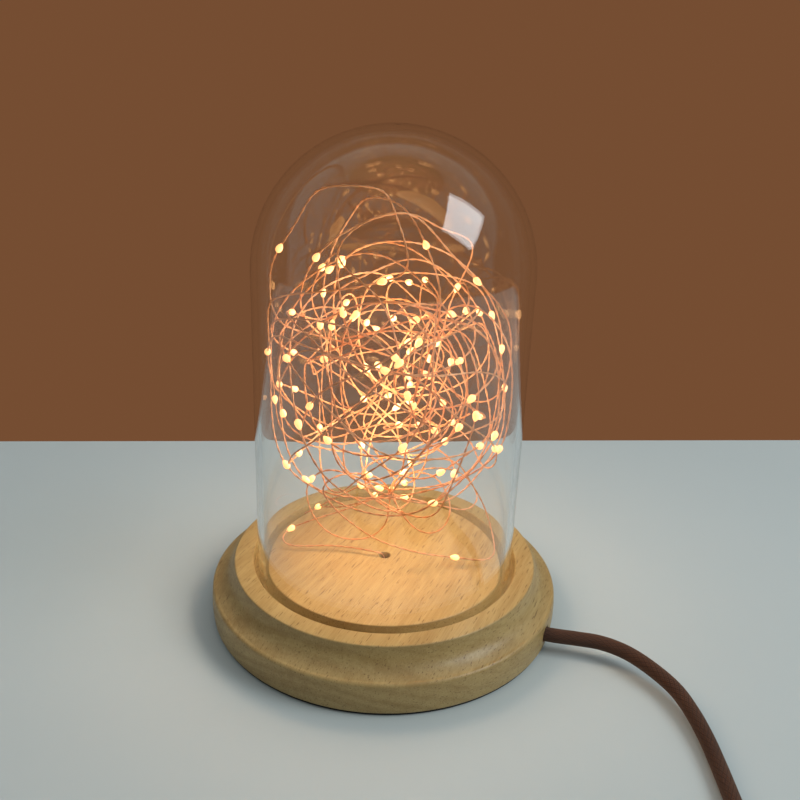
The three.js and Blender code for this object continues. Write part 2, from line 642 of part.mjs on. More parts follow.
addCord("cord_run", cordRunPoints);
addCord("cord_tail", cordTailPoints);
addCord("plug_cord", plugCordPoints);

// Coil: the lead spirals in on the table, climbs a layer in the half turn where the spiral reverses, and
// spirals out again on top. It turns clockwise seen from above, and its ends run straight.
const coilTurns = 2 * COIL_LAYER_TURNS + COIL_CLIMB_TURNS;
const coilInnerRadius = coilOuterRadius - COIL_PITCH * COIL_LAYER_TURNS;
function coilPoint(turns) {
  const into = turns - COIL_LAYER_TURNS;
  const climb = THREE.MathUtils.clamp(into / COIL_CLIMB_TURNS, 0, 1);
  const dip = COIL_PITCH * COIL_CLIMB_TURNS * climb * (1 - climb);
  let radius = coilInnerRadius - dip;
  if (into < 0) radius = coilInnerRadius - COIL_PITCH * into;
  if (into > COIL_CLIMB_TURNS) radius = coilInnerRadius + COIL_PITCH * (into - COIL_CLIMB_TURNS);
  const angle = -2 * Math.PI * turns;
  return new THREE.Vector3(
    COIL_MIDDLE.x + radius * Math.cos(angle),
    COIL_MIDDLE.y + radius * Math.sin(angle),
    coilLowHeight + COIL_PITCH * THREE.MathUtils.smoothstep(climb, 0, 1),
  );
}
const coilPoints = [new THREE.Vector3(coilStart[0], coilStart[1], coilLowHeight)];
const coilStations = Math.round(coilTurns * COIL_STEPS_PER_TURN);
for (let station = 0; station <= coilStations; station += 1) {
  coilPoints.push(coilPoint((coilTurns * station) / coilStations));
}
coilPoints.push(new THREE.Vector3(coilEnd[0], coilEnd[1], coilHighHeight));
const coilCurve = curveThrough(coilPoints);
addPiece("cord_coil", tube(coilCurve, cordRadius, COIL_SIDES, coilStations + 2), TEXTILE);
reportGap("cord_coil", coilCurve, CORD_DIAMETER, 5 * coilStations);
console.log(`cord_coil: ${coilCurve.getLength().toFixed(0)} mm long`);

// Tie: a flat band closed round the coil's turns.
const tieInnerWidth = COIL_PITCH * COIL_LAYER_TURNS + CORD_DIAMETER + COIL_PITCH;
const tieInnerHeight = COIL_PITCH + CORD_DIAMETER + 2 * FIT_GAP;
const tieOuterWidth = tieInnerWidth + 2 * TIE_THICKNESS;
const tieOuterHeight = tieInnerHeight + 2 * TIE_THICKNESS;
const tieShape = roundedShape(tieOuterWidth, tieOuterHeight, cordRadius + TIE_THICKNESS);
tieShape.holes.push(roundedShape(tieInnerWidth, tieInnerHeight, cordRadius, THREE.Path));
const tie = raised(tieShape, -TIE_WIDTH / 2, TIE_WIDTH / 2).rotateX(Math.PI / 2);
tie.translate(COIL_MIDDLE_RADIUS, 0, tieOuterHeight / 2).rotateZ(radians(TIE_TURN_DEG));
addPiece("coil_tie", tie.translate(COIL_MIDDLE.x, COIL_MIDDLE.y, 0), BLACK_PLASTIC);

// Hand switch on the lead: two shells screwed together, a rocker on an axle in the cover, and a brass
// terminal for each end of the cut conductor.
const handSwitch = new THREE.Group();
handSwitch.position.set(SWITCH_END - SWITCH_LENGTH / 2, coilEnd[1], 0);
lamp.add(handSwitch);
const switchOutline = roundedShape(SWITCH_LENGTH, SWITCH_WIDTH, SWITCH_CORNER);
const innerLength = SWITCH_LENGTH - 2 * SWITCH_WALL;
const innerWidth = SWITCH_WIDTH - 2 * SWITCH_WALL;
const switchInside = roundedShape(innerLength, innerWidth, SWITCH_CORNER - SWITCH_WALL);
const coverLow = SWITCH_SPLIT + SEAT_GAP;
const coverCeiling = SWITCH_HEIGHT - SWITCH_WALL;
const axleHeight = SWITCH_HEIGHT - ROCKER_PIVOT_DROP;
const windowLength = ROCKER_LENGTH + 2 * ROCKER_SWING_ROOM;
const windowWidth = ROCKER_WIDTH + 2 * FIT_GAP;
const wellLow = axleHeight - AXLE_RADIUS - FIT_GAP - SWITCH_WALL;
const wellWall = AXLE_REACH + SWITCH_WALL;
const switchBosses = [-1, 1].map((side) => {
  const boss = upright(SCREW_HEAD_RADIUS, SWITCH_WALL / 2, SWITCH_SPLIT);
  return boss.translate((side * (SWITCH_LENGTH - SWITCH_SCREW_PLACE)) / 2, 0, 0);
});
const switchBores = [-1, 1].map((side) => {
  const bore = upright(SCREW_RADIUS + FIT_GAP, -SWITCH_WALL, coverCeiling, SCREW_SIDES);
  const headBore = upright(SCREW_HEAD_RADIUS - FIT_GAP, -SWITCH_WALL, SWITCH_WALL);
  const both = join(bore, headBore);
  return both.translate((side * (SWITCH_LENGTH - SWITCH_SCREW_PLACE)) / 2, 0, 0);
});
const lowerHollow = raised(switchInside, SWITCH_WALL, SWITCH_HEIGHT);
const lowerShell = cut(raised(switchOutline, 0, SWITCH_SPLIT), lowerHollow);
addPiece("switch_base", cut(join(lowerShell, ...switchBosses), ...switchBores), BLACK_PLASTIC, handSwitch);
const upperHollow = raised(switchInside, 0, coverCeiling);
const upperShell = cut(raised(switchOutline, coverLow, SWITCH_HEIGHT), upperHollow);
const wellShape = roundedShape(windowLength + 2 * SWITCH_WALL, windowWidth + 2 * wellWall, SWITCH_WALL);
const coverPosts = [-1, 1].map((side) => {
  const post = upright(SCREW_HEAD_RADIUS, coverLow, SWITCH_HEIGHT - SWITCH_WALL / 2);
  return post.translate((side * (SWITCH_LENGTH - SWITCH_SCREW_PLACE)) / 2, 0, 0);
});
const well = raised(wellShape, wellLow, SWITCH_HEIGHT - SWITCH_WALL / 2);
const coverBody = join(upperShell, well, ...coverPosts);
const half = [windowLength / 2, windowWidth / 2];
const rockerWindow = block([-half[0], -half[1], 0], [half[0], half[1], 2 * SWITCH_HEIGHT]);
const axleBoreRadius = AXLE_RADIUS + FIT_GAP;
const axleBoreLength = windowWidth + 2 * AXLE_REACH;
const axleBore = new THREE.CylinderGeometry(axleBoreRadius, axleBoreRadius, axleBoreLength, ROD_SIDES);
axleBore.translate(0, 0, axleHeight);
addPiece("switch_cover", cut(coverBody, rockerWindow, axleBore, ...switchBores), BLACK_PLASTIC, handSwitch);
const rockerTop = ROCKER_PIVOT_DROP + ROCKER_PROUD;
const rockerEndTop = rockerTop + (ROCKER_LENGTH / 2) * Math.tan(radians(ROCKER_TILT_DEG));
const rockerShape = new THREE.Shape();
rockerShape.moveTo(-ROCKER_LENGTH / 4, rockerTop - ROCKER_DEPTH);
rockerShape.lineTo(ROCKER_LENGTH / 4, rockerTop - ROCKER_DEPTH);
rockerShape.lineTo(ROCKER_LENGTH / 2, 0);
rockerShape.lineTo(ROCKER_LENGTH / 2, rockerEndTop);
rockerShape.lineTo(0, rockerTop);
rockerShape.lineTo(-ROCKER_LENGTH / 2, rockerEndTop);
rockerShape.lineTo(-ROCKER_LENGTH / 2, 0);
rockerShape.closePath();
const rockerBody = raised(rockerShape, -ROCKER_WIDTH / 2, ROCKER_WIDTH / 2).rotateX(Math.PI / 2);
const axleHalf = windowWidth / 2 + AXLE_REACH - FIT_GAP;
const axle = new THREE.CylinderGeometry(AXLE_RADIUS, AXLE_RADIUS, 2 * axleHalf, SCREW_SIDES);
const rocker = addPiece("switch_rocker", join(rockerBody, axle), BLACK_PLASTIC, handSwitch);
rocker.position.z = axleHeight;
rocker.rotation.y = radians(ROCKER_TILT_DEG);
[-1, 1].forEach((side, index) => {
  const place = (side * (SWITCH_LENGTH - SWITCH_SCREW_PLACE)) / 2;
  const screwHead = upright(SCREW_HEAD_RADIUS - 2 * FIT_GAP, FIT_GAP, SWITCH_WALL - SEAT_GAP);
  const screwShank = upright(SCREW_RADIUS, FIT_GAP, coverCeiling - FIT_GAP, SCREW_SIDES);
  const screw = addPiece(`switch_screw_${index + 1}`, join(screwHead, screwShank), STEEL, handSwitch);
  screw.position.x = place;
  const low = [-TERMINAL_LENGTH / 2, -TERMINAL_WIDTH / 2, SWITCH_WALL + SEAT_GAP];
  const high = [TERMINAL_LENGTH / 2, TERMINAL_WIDTH / 2, SWITCH_WALL + SEAT_GAP + TERMINAL_HEIGHT];
  const terminal = addPiece(`switch_terminal_${index + 1}`, block(low, high), BRASS, handSwitch);
  terminal.position.x = (side * TERMINAL_PLACE) / 2;
});

// Plug: a tapered boot, a moulded body, a steel shell, a tongue in it and the contacts on the tongue.
const plug = new THREE.Group();
plug.position.set(PLUG_START, PLUG_LINE, plugAxisHeight);
lamp.add(plug);
const bodyStart = BOOT_LENGTH + SEAT_GAP;
const bodyEnd = bodyStart + PLUG_BODY_LENGTH;
const shellStart = bodyEnd - SHELL_IN_BODY;
const shellEnd = shellStart + SHELL_LENGTH;
addPiece("plug_boot", alongX(BOOT_NARROW_RADIUS, BOOT_WIDE_RADIUS, 0, BOOT_LENGTH), BLACK_PLASTIC, plug);
const bodyOutline = roundedShape(PLUG_BODY_WIDTH, PLUG_BODY_HEIGHT, PLUG_CORNER);
const plugBody = raised(bodyOutline, bodyStart, bodyEnd).rotateZ(Math.PI / 2).rotateY(Math.PI / 2);
const pocketHalf = [SHELL_WIDTH / 2 + FIT_GAP, SHELL_HEIGHT / 2 + FIT_GAP];
const pocketStart = shellStart - SEAT_GAP;
const pocket = block(
  [pocketStart, -pocketHalf[0], -pocketHalf[1]],
  [shellEnd, pocketHalf[0], pocketHalf[1]],
);
addPiece("plug_body", cut(plugBody, pocket), BLACK_PLASTIC, plug);
const shellHalf = [SHELL_WIDTH / 2, SHELL_HEIGHT / 2];
const shellOuter = block([shellStart, -shellHalf[0], -shellHalf[1]], [shellEnd, ...shellHalf]);
const mouthHalf = shellHalf.map((value) => value - SHELL_WALL);
const shellMouth = block(
  [shellStart - SEAT_GAP, -mouthHalf[0], -mouthHalf[1]],
  [shellEnd + SEAT_GAP, ...mouthHalf],
);
addPiece("plug_shell", cut(shellOuter, shellMouth), STEEL, plug);
const tongueHalf = mouthHalf[0] - FIT_GAP;
const tongueLow = -mouthHalf[1] + SEAT_GAP;
const tongueTop = tongueLow + TONGUE_HEIGHT;
const tongueEnd = shellEnd - TONGUE_SETBACK;
const tongue = block([shellStart, -tongueHalf, tongueLow], [tongueEnd, tongueHalf, tongueTop]);
addPiece("plug_tongue", tongue, WHITE_PLASTIC, plug);
for (let contact = 0; contact < CONTACTS; contact += 1) {
  const line = (contact - (CONTACTS - 1) / 2) * CONTACT_PITCH;
  const low = [tongueEnd - CONTACT_LENGTH - SEAT_GAP, line - CONTACT_WIDTH / 2, tongueTop + SEAT_GAP];
  const high = [tongueEnd - SEAT_GAP, line + CONTACT_WIDTH / 2, tongueTop + SEAT_GAP + CONTACT_THICKNESS];
  addPiece(`plug_contact_${contact + 1}`, block(low, high), BRASS, plug);
}

export default lamp;
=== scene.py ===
"""Dresses the bedside table lamp round its fixed frame: turned wood, clear glass, lit copper wire and a
textile lead with its switch and plug. Metres, +Z up, and the viewer stands on the -Y side."""

import json
import logging
import math
from dataclasses import dataclass
from enum import Enum

import bpy
import numpy as np
from mathutils import Matrix, Vector


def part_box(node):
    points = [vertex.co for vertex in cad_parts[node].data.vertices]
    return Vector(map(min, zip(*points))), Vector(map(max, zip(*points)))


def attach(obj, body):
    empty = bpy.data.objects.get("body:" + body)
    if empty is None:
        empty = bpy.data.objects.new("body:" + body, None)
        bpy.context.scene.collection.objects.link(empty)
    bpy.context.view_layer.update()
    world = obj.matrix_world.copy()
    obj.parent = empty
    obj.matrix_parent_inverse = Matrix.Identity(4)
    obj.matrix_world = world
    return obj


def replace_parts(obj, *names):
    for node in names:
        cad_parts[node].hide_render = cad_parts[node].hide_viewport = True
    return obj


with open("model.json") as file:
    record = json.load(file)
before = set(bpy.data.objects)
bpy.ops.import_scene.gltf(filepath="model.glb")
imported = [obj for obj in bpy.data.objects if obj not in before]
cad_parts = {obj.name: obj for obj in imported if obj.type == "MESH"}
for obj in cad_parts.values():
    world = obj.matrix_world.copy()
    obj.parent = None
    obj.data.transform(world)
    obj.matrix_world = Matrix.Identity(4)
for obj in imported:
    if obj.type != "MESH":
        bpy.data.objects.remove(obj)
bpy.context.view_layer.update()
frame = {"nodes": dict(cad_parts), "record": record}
MM = 0.001
LOG = logging.getLogger("lamp")

Colour = tuple[float, float, float]
Point = tuple[float, float, float]
Pair = tuple[float, float]
Array = np.ndarray


class Body(Enum):
    """The bodies of the frame that a piece can ride on."""

    BASE = "base"
    DOME = "dome"
    ROCKER = "rocker"


# Shapes


def arc(centre: Pair, radii: Pair, turn: Pair, steps: int) -> Array:
    """Points of an ellipse's arc: centre + (rx cos a, ry sin a), with a in even steps.

    Args:
        centre: middle of the ellipse.
        radii: its two radii.
        turn: first and last angle in degrees.
        steps: how many stretches the arc has.

    Returns:
        Rows of two numbers.
    """
    angle = np.radians(np.linspace(*turn, steps + 1))
    return np.stack([centre[0] + radii[0] * np.cos(angle), centre[1] + radii[1] * np.sin(angle)], 1)


def rounded_outline(length: float, width: float, corner: float, steps: int = 6) -> Array:
    """A rectangle about the origin with quarter rounds at its corners.

    Args:
        length: size along the first axis.
        width: size along the second axis.
        corner: radius of the quarter rounds.
        steps: stretches in each quarter round.

    Returns:
        Rows of two numbers, anticlockwise.
    """
    reach = np.array([length / 2 - corner, width / 2 - corner])
    signs = ((1, 1), (-1, 1), (-1, -1), (1, -1))
    quarters = [
        arc(tuple(reach * sign), (corner, corner), (90 * place, 90 * place + 90), steps)
        for place, sign in enumerate(signs)
    ]
    return np.concatenate(quarters)


def run_along(path: Array) -> Array:
    """How far along a path each of its points lies."""
    return np.concatenate([[0], np.cumsum(np.linalg.norm(np.diff(path, axis=0), axis=1))])


def even(path: Array, spacing: float) -> Array:
    """A path's points moved along it to even distances, by the length run so far.

    Args:
        path: rows of three numbers.
        spacing: wished distance between points.

    Returns:
        Rows of three numbers.
    """
    run = run_along(path)
    stations = np.linspace(0, run[-1], max(2, round(run[-1] / spacing) + 1))
    return np.stack([np.interp(stations, run, path[:, axis]) for axis in range(3)], 1)


def smooth_path(rows: Array, spacing: float, fine: int = 24) -> Array:
    """A smooth curve through given points: on each stretch the centripetal Catmull-Rom cubic, whose
    knots lie the square root of the chord apart.

    Args:
        rows: the points, as rows of three numbers.
        spacing: distance between the points returned.
        fine: samples on each stretch before they are spaced evenly.

    Returns:
        Rows of three numbers at even distances.
    """
    rows = np.asarray(rows, float)
    ends = (2 * rows[0] - rows[1], 2 * rows[-1] - rows[-2])
    p = np.vstack([ends[0], rows, ends[1]])
    knot = np.concatenate([[0], np.cumsum(np.sqrt(np.linalg.norm(np.diff(p, axis=0), axis=1)))])
    k0, k1, k2, k3 = (knot[i : len(rows) - 1 + i, None, None] for i in range(4))
    p0, p1, p2, p3 = (p[i : len(rows) - 1 + i, None, :] for i in range(4))
    t = k1 + (k2 - k1) * np.linspace(0, 1, fine, endpoint=False)[None, :, None]
    a1 = ((k1 - t) * p0 + (t - k0) * p1) / (k1 - k0)
    a2 = ((k2 - t) * p1 + (t - k1) * p2) / (k2 - k1)
    a3 = ((k3 - t) * p2 + (t - k2) * p3) / (k3 - k2)
    b1 = ((k2 - t) * a1 + (t - k0) * a2) / (k2 - k0)
    b2 = ((k3 - t) * a2 + (t - k1) * a3) / (k3 - k1)
    curve = ((k2 - t) * b1 + (t - k1) * b2) / (k2 - k1)
    return even(np.vstack([curve.reshape(-1, 3), rows[-1:]]), spacing)


def unit(vectors: Array) -> Array:
    """Vectors at length one."""
    return vectors / np.linalg.norm(vectors, axis=-1, keepdims=True)


def carried_frame(path: Array) -> tuple[Array, Array, Array]:
    """A frame that goes along a path with no twist of its own. Any side direction is taken at each point,
    the twist from each to the next is measured against the least turn of the tangent, and the sum of
    those twists is turned back.

    Args:
        path: rows of three numbers.

    Returns:
        The tangents, and two sides square to them and to each other.
    """
    tangent = unit(np.gradient(path, axis=0))
    helper = np.where(np.abs(tangent[:, 2:]) < 0.8, [[0.0, 0.0, 1.0]], [[1.0, 0.0, 0.0]])
    side = unit(np.cross(tangent, helper))
    other = np.cross(tangent, side)
    axis = np.cross(tangent[:-1], tangent[1:])
    share = 1 / (1 + np.sum(tangent[:-1] * tangent[1:], axis=1, keepdims=True))
    once = np.cross(axis, side[:-1])
    moved = side[:-1] + once + share * np.cross(axis, once)
    twist = np.arctan2(np.sum(moved * other[1:], axis=1), np.sum(moved * side[1:], axis=1))
    total = np.concatenate([[0], np.cumsum(twist)])[:, None]
    turned = np.cos(total) * side + np.sin(total) * other
    return tangent, turned, np.cross(tangent, turned)


def ring_grid(path: Array, radius: Array | float, sides: int) -> Array:
    """A tube's grid: rings of points square to a path, path + r (cos a side + sin a other).

    Args:
        path: rows of three numbers.
        radius: one radius, or one for each point of the path.
        sides: points in each ring.

    Returns:
        An array of rings by points by three.
    """
    _, side, other = carried_frame(path)
    angle = np.linspace(0, 2 * np.pi, sides, endpoint=False)
    across = np.cos(angle)[None, :, None] * side[:, None] + np.sin(angle)[None, :, None] * other[:, None]
    return path[:, None] + np.broadcast_to(radius, len(path))[:, None, None] * across


def turned_grid(profile: Array, sides: int) -> Array:
    """A turned shape's grid: a profile of radius and height carried round the upright.

    Args:
        profile: rows of radius and height.
        sides: points in each ring.

    Returns:
        An array of rings by points by three.
    """
    angle = np.linspace(0, 2 * np.pi, sides, endpoint=False)
    x = profile[:, :1] * np.cos(angle)
    y = profile[:, :1] * np.sin(angle)
    return np.stack([x, y, np.broadcast_to(profile[:, 1:], x.shape)], 2)


def stacked_grid(outlines: list[Array], heights: list[float]) -> Array:
    """Outlines of the same count of points laid one over another at their heights.

    Args:
        outlines: rows of two numbers for each outline.
        heights: the height of each outline.

    Returns:
        An array of rings by points by three.
    """
    return np.stack([np.insert(outline, 2, high, axis=1) for outline, high in zip(outlines, heights)])


class Shell:
    """A mesh gathered from closed grids. Each grid's rings wrap round; its ends join each other or are
    closed by a fan."""

    def __init__(self) -> None:
        """Starts with nothing in it."""
        self.points: list[Array] = []
        self.faces: list[list[int]] = []
        self.places: list[Array] = []
        self.values: list[Array] = []
        self.count = 0

    def add(
        self, grid: Array, ring: bool = False, run: Array | None = None, value: Array | None = None
    ) -> "Shell":
        """Adds one closed surface with its faces outwards.

        Args:
            grid: rings by points by three.
            ring: whether the last ring joins the first; otherwise a fan closes each end.
            run: how far along the piece each ring lies, for the second number of the surface's map.
            value: a number for each ring, kept as the mesh's point attribute.

        Returns:
            This shell.
        """
        rings, sides, _ = grid.shape
        points = grid.reshape(-1, 3)
        run = np.arange(rings, dtype=float) if run is None else run
        value = np.zeros(rings) if value is None else value
        row, column = np.meshgrid(np.arange(rings if ring else rings - 1), np.arange(sides), indexing="ij")
        above, beside = (row + 1) % rings, (column + 1) % sides
        low, high = row * sides, above * sides
        quads = np.stack([low + column, low + beside, high + beside, high + column], 2).reshape(-1, 4)
        edges = [(column, row), (column + 1, row), (column + 1, above), (column, above)]
        places = np.stack([np.stack([c / sides, run[r]], 2) for c, r in edges], 2).reshape(-1, 4, 2)
        fans = np.zeros((0, 3), int)
        fan_places = np.zeros((0, 3, 2))
        values = np.repeat(value, sides)
        if not ring:
            tips = np.stack([grid[0].mean(0), grid[-1].mean(0)])
            points = np.vstack([points, tips])
            values = np.concatenate([values, value[[0, -1]]])
            around = np.arange(sides)
            onward = (around + 1) % sides
            first_tip = np.full(sides, rings * sides)
            end = (rings - 1) * sides
            first = np.stack([onward, around, first_tip], 1)
            last = np.stack([end + around, end + onward, first_tip + 1], 1)
            fans = np.vstack([first, last])
            fan_places = np.zeros((2 * sides, 3, 2))
            fan_places[:sides, :, 1] = run[0]
            fan_places[sides:, :, 1] = run[-1]
        self._keep(points, quads, fans, places, fan_places, values)
        return self

    def _keep(
        self, points: Array, quads: Array, fans: Array, places: Array, fan_places: Array, values: Array
    ) -> None:
        """Turns a surface's faces outwards by the sign of its volume, and stores it."""
        corners = np.vstack([quads[:, [0, 1, 2]], quads[:, [0, 2, 3]], fans])
        a, b, c = (points[corners[:, i]] - points.mean(0) for i in range(3))
        if np.sum(a * np.cross(b, c)) < 0:
            quads, fans = quads[:, ::-1], fans[:, ::-1]
            places, fan_places = places[:, ::-1], fan_places[:, ::-1]
        self.points.append(points)
        self.values.append(values)
        self.faces += (quads + self.count).tolist() + (fans + self.count).tolist()
        self.places += [places.reshape(-1, 2), fan_places.reshape(-1, 2)]
        self.count += len(points)

    def make(
        self, name: str, body: Body | None, sharp_deg: float = 40, attribute: str | None = None
    ) -> bpy.types.Object:
        """The mesh as an object at the origin that rides on a body.

        Args:
            name: the piece's name.
            body: what it moves with, or None for what is no piece of the lamp.
            sharp_deg: edges that turn by more than this stay sharp.
            attribute: name under which the rings' values are kept, if they are used.

        Returns:
            The new object.
        """
        mesh = bpy.data.meshes.new(name)
        mesh.from_pydata(np.concatenate(self.points).tolist(), [], self.faces)
        layer = mesh.uv_layers.new(name="surface")
        layer.data.foreach_set("uv", np.concatenate(self.places).astype(np.float32).ravel())
        if attribute:
            kept = mesh.attributes.new(attribute, "FLOAT", "POINT")
            kept.data.foreach_set("value", np.concatenate(self.values).astype(np.float32))
        mesh.polygons.foreach_set("use_smooth", np.ones(len(mesh.polygons), bool))
        mesh.set_sharp_from_angle(angle=math.radians(sharp_deg))
        mesh.update()
        piece = bpy.data.objects.new(name, mesh)
        bpy.context.scene.collection.objects.link(piece)
        if body:
            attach(piece, body.value)
            LOG.info("%s: %d faces on %s", name, len(mesh.polygons), body.value)
        return piece


def dressed(
    piece: bpy.types.Object, finish: bpy.types.Material, slot: str, *nodes: str
) -> bpy.types.Object:
    """Gives a piece its finish and its slot, and puts it in the place of nodes of the frame.

    Args:
        piece: the new piece.
        finish: its material.
        slot: not used.
        nodes: the nodes that it replaces, if any.

    Returns:
        The piece.
    """
    piece.data.materials.append(finish)
    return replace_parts(piece, *nodes) if nodes else piece


# Shader building


class Shade:
    """One output of a node, with arithmetic that adds Math nodes."""

    def __init__(self, bench: "Bench", socket: bpy.types.NodeSocket) -> None:
        """Keeps the socket and the bench that it belongs to."""
        self.bench = bench
        self.socket = socket

    def _math(self, operation: str, first: "Shade | float", second: "Shade | float") -> "Shade":
        """A Math node of two values."""
        return self.bench.add("ShaderNodeMath", {"operation": operation}, {0: first, 1: second})["Value"]

    def __add__(self, other: "Shade | float") -> "Shade":
        """This and another."""
        return self._math("ADD", self, other)

    def __radd__(self, other: float) -> "Shade":
        """A number and this."""
        return self._math("ADD", other, self)

    def __sub__(self, other: "Shade | float") -> "Shade":
        """This less another."""
        return self._math("SUBTRACT", self, other)

    def __rsub__(self, other: float) -> "Shade":
        """A number less this."""
        return self._math("SUBTRACT", other, self)

    def __mul__(self, other: "Shade | float") -> "Shade":
        """This times another."""
        return self._math("MULTIPLY", self, other)

    def __rmul__(self, other: float) -> "Shade":
        """A number times this."""
        return self._math("MULTIPLY", other, self)

    def __truediv__(self, other: "Shade | float") -> "Shade":
        """This divided by another."""
        return self._math("DIVIDE", self, other)

    def __pow__(self, other: "Shade | float") -> "Shade":
        """This to a power."""
        return self._math("POWER", self, other)

    def __abs__(self) -> "Shade":
        """This without its sign."""
        return self._math("ABSOLUTE", self, 0.0)

    def larger(self, other: "Shade | float") -> "Shade":
        """The larger of this and another."""
        return self._math("MAXIMUM", self, other)

    def sine(self) -> "Shade":
        """The sine of this, in radians."""
        return self._math("SINE", self, 0.0)

    def between(self, low: float, high: float) -> "Shade":
        """0 up to low, 1 from high on, and smooth from one to the other."""
        settings = {"interpolation_type": "SMOOTHSTEP"}
        return self.bench.add("ShaderNodeMapRange", settings, {0: self, 1: low, 2: high})["Result"]


class Added:
    """A node that was added, whose outputs are read by name or number."""

    def __init__(self, bench: "Bench", node: bpy.types.Node) -> None:
        """Keeps the node and its bench."""
        self.bench = bench
        self.node = node

    def __getitem__(self, name: str | int) -> Shade:
        """The output of that name or number."""
        return Shade(self.bench, self.node.outputs[name])


class Bench:
    """The node tree of one material, or of the world."""

    def __init__(self, name: str, world: bool = False) -> None:
        """Starts a material or a world with nothing but its output."""
        self.owner = (bpy.data.worlds if world else bpy.data.materials).new(name)
        self.owner.use_nodes = True
        self.tree = self.owner.node_tree
        self.tree.nodes.clear()
        self.output = self.tree.nodes.new("ShaderNodeOutputWorld" if world else "ShaderNodeOutputMaterial")

    def add(self, kind: str, settings: dict | None = None, inputs: dict | None = None) -> Added:
        """Adds a node.

        Args:
            kind: the node's type.
            settings: its properties, set first.
            inputs: values or links of its sockets, by name or number.

        Returns:
            The node, for its outputs.
        """
        node = self.tree.nodes.new(kind)
        for name, value in (settings or {}).items():
            setattr(node, name, value)
        for name, value in (inputs or {}).items():
            if isinstance(value, Shade):
                self.tree.links.new(value.socket, node.inputs[name])
            else:
                node.inputs[name].default_value = value
        return Added(self, node)

    def place(self, scale: Point = (1, 1, 1), turn_deg: float = 0.0) -> Shade:
        """Object coordinates, turned round the upright and then scaled each way."""
        own = self.add("ShaderNodeTexCoord")["Object"]
        turned = own
        if turn_deg:
            turn = (0, 0, -math.radians(turn_deg))
            turned = self.add("ShaderNodeMapping", None, {"Vector": own, "Rotation": turn})["Vector"]
        return self.add("ShaderNodeVectorMath", {"operation": "MULTIPLY"}, {0: turned, 1: scale})["Vector"]

    def noise_at(self, place: Shade, detail: float, rough: float = 0.55) -> Shade:
        """Smooth noise from 0 to 1 over given coordinates."""
        inputs = {"Vector": place, "Scale": 1.0, "Detail": detail, "Roughness": rough}
        return self.add("ShaderNodeTexNoise", None, inputs)["Fac"]

    def noise(self, scale: Point, detail: float = 3.0, rough: float = 0.55, turn_deg: float = 0.0) -> Shade:
        """Smooth noise from 0 to 1 over turned and scaled Object coordinates."""
        return self.noise_at(self.place(scale, turn_deg), detail, rough)

    def blend(self, first: Shade | Colour, second: Shade | Colour, share: Shade | float) -> Shade:
        """A colour between two by a share."""
        ends = [value if isinstance(value, Shade) else (*value, 1.0) for value in (first, second)]
        node = self.add("ShaderNodeMix", {"data_type": "RGBA"}, {0: share, 6: ends[0], 7: ends[1]})
        return node[2]

    def bump(self, height: Shade, depth: float, strength: float = 1.0) -> Shade:
        """A normal that follows a height."""
        inputs = {"Strength": strength, "Distance": depth, "Height": height}
        return self.add("ShaderNodeBump", None, inputs)["Normal"]

    def principled(self, **inputs: Shade | float | tuple) -> Shade:
        """The surface shader, with its sockets named with underscores for spaces."""
        named = {name.replace("_", " "): value for name, value in inputs.items()}
        ready = {
            name: (*value, 1.0) if isinstance(value, tuple) else value
            for name, value in named.items()
        }
        return self.add("ShaderNodeBsdfPrincipled", None, ready)["BSDF"]

    def surface(self, **inputs: Shade | float | tuple) -> bpy.types.Material:
        """The material of one surface shader with these sockets."""
        return self.finish(self.principled(**inputs))

    def finish(self, shader: Shade) -> bpy.types.Material | bpy.types.World:
        """Joins the shader to the output and gives the material or the world."""
        self.tree.links.new(shader.socket, self.output.inputs["Surface"])
        return self.owner


# Finishes


@dataclass(frozen=True)
class TurnedWood:
    """Pale close-grained hardwood under a satin lacquer. Growth layers lie round an axis below the disc,
    so that they draw long arches on it; fibres and short dark pores run along the grain."""

    pale: Colour = (0.50, 0.36, 0.145)
    layer: Colour = (0.35, 0.225, 0.075)
    pore: Colour = (0.13, 0.065, 0.022)
    grain_deg: float = 66
    layer_spacing: float = 0.0022
    axis_depth: float = 0.11
    arch: float = 0.035
    warp: float = 0.005

    def make(self) -> bpy.types.Material:
        """The material."""
        bench = Bench("turned_wood")
        drift = bench.noise((9, 30, 30), turn_deg=self.grain_deg, detail=2)
        local = bench.add("ShaderNodeSeparateXYZ", None, {0: bench.place((1, 1, 1), self.grain_deg)})
        along, across, up = local["X"], local["Y"], local["Z"]
        depth = up + self.axis_depth
        ring = (across * across + depth * depth) ** 0.5 + along * self.arch + drift * self.warp
        rows = {"X": ring / self.layer_spacing, "Y": along * 6}
        layers = bench.noise_at(bench.add("ShaderNodeCombineXYZ", None, rows)["Vector"], detail=2)
        cloud = bench.noise((18, 40, 40), turn_deg=self.grain_deg, detail=3)
        fibre = bench.noise((70, 1500, 1500), turn_deg=self.grain_deg, detail=4, rough=0.65)
        streak = bench.noise((28, 320, 320), turn_deg=self.grain_deg, detail=3)
        pores = bench.noise((170, 1700, 1700), turn_deg=self.grain_deg, detail=1.5)
        pore = pores.between(0.62, 0.70)
        tone = (layers * 0.9 + cloud * 0.5 + streak * 0.6 + fibre * 1.0).between(1.05, 1.95)
        colour = bench.blend(self.pale, self.layer, tone)
        colour = bench.blend(colour, self.pore, pore * 0.6)
        height = fibre * 0.6 - pore * 0.8
        return bench.surface(
            Base_Color=colour,
            Roughness=0.40 + fibre * 0.14 + pore * 0.15,
            Normal=bench.bump(height, 0.00006, 0.5),
            Coat_Weight=0.25,
            Coat_Roughness=0.24,
            Specular_IOR_Level=0.4,
        )


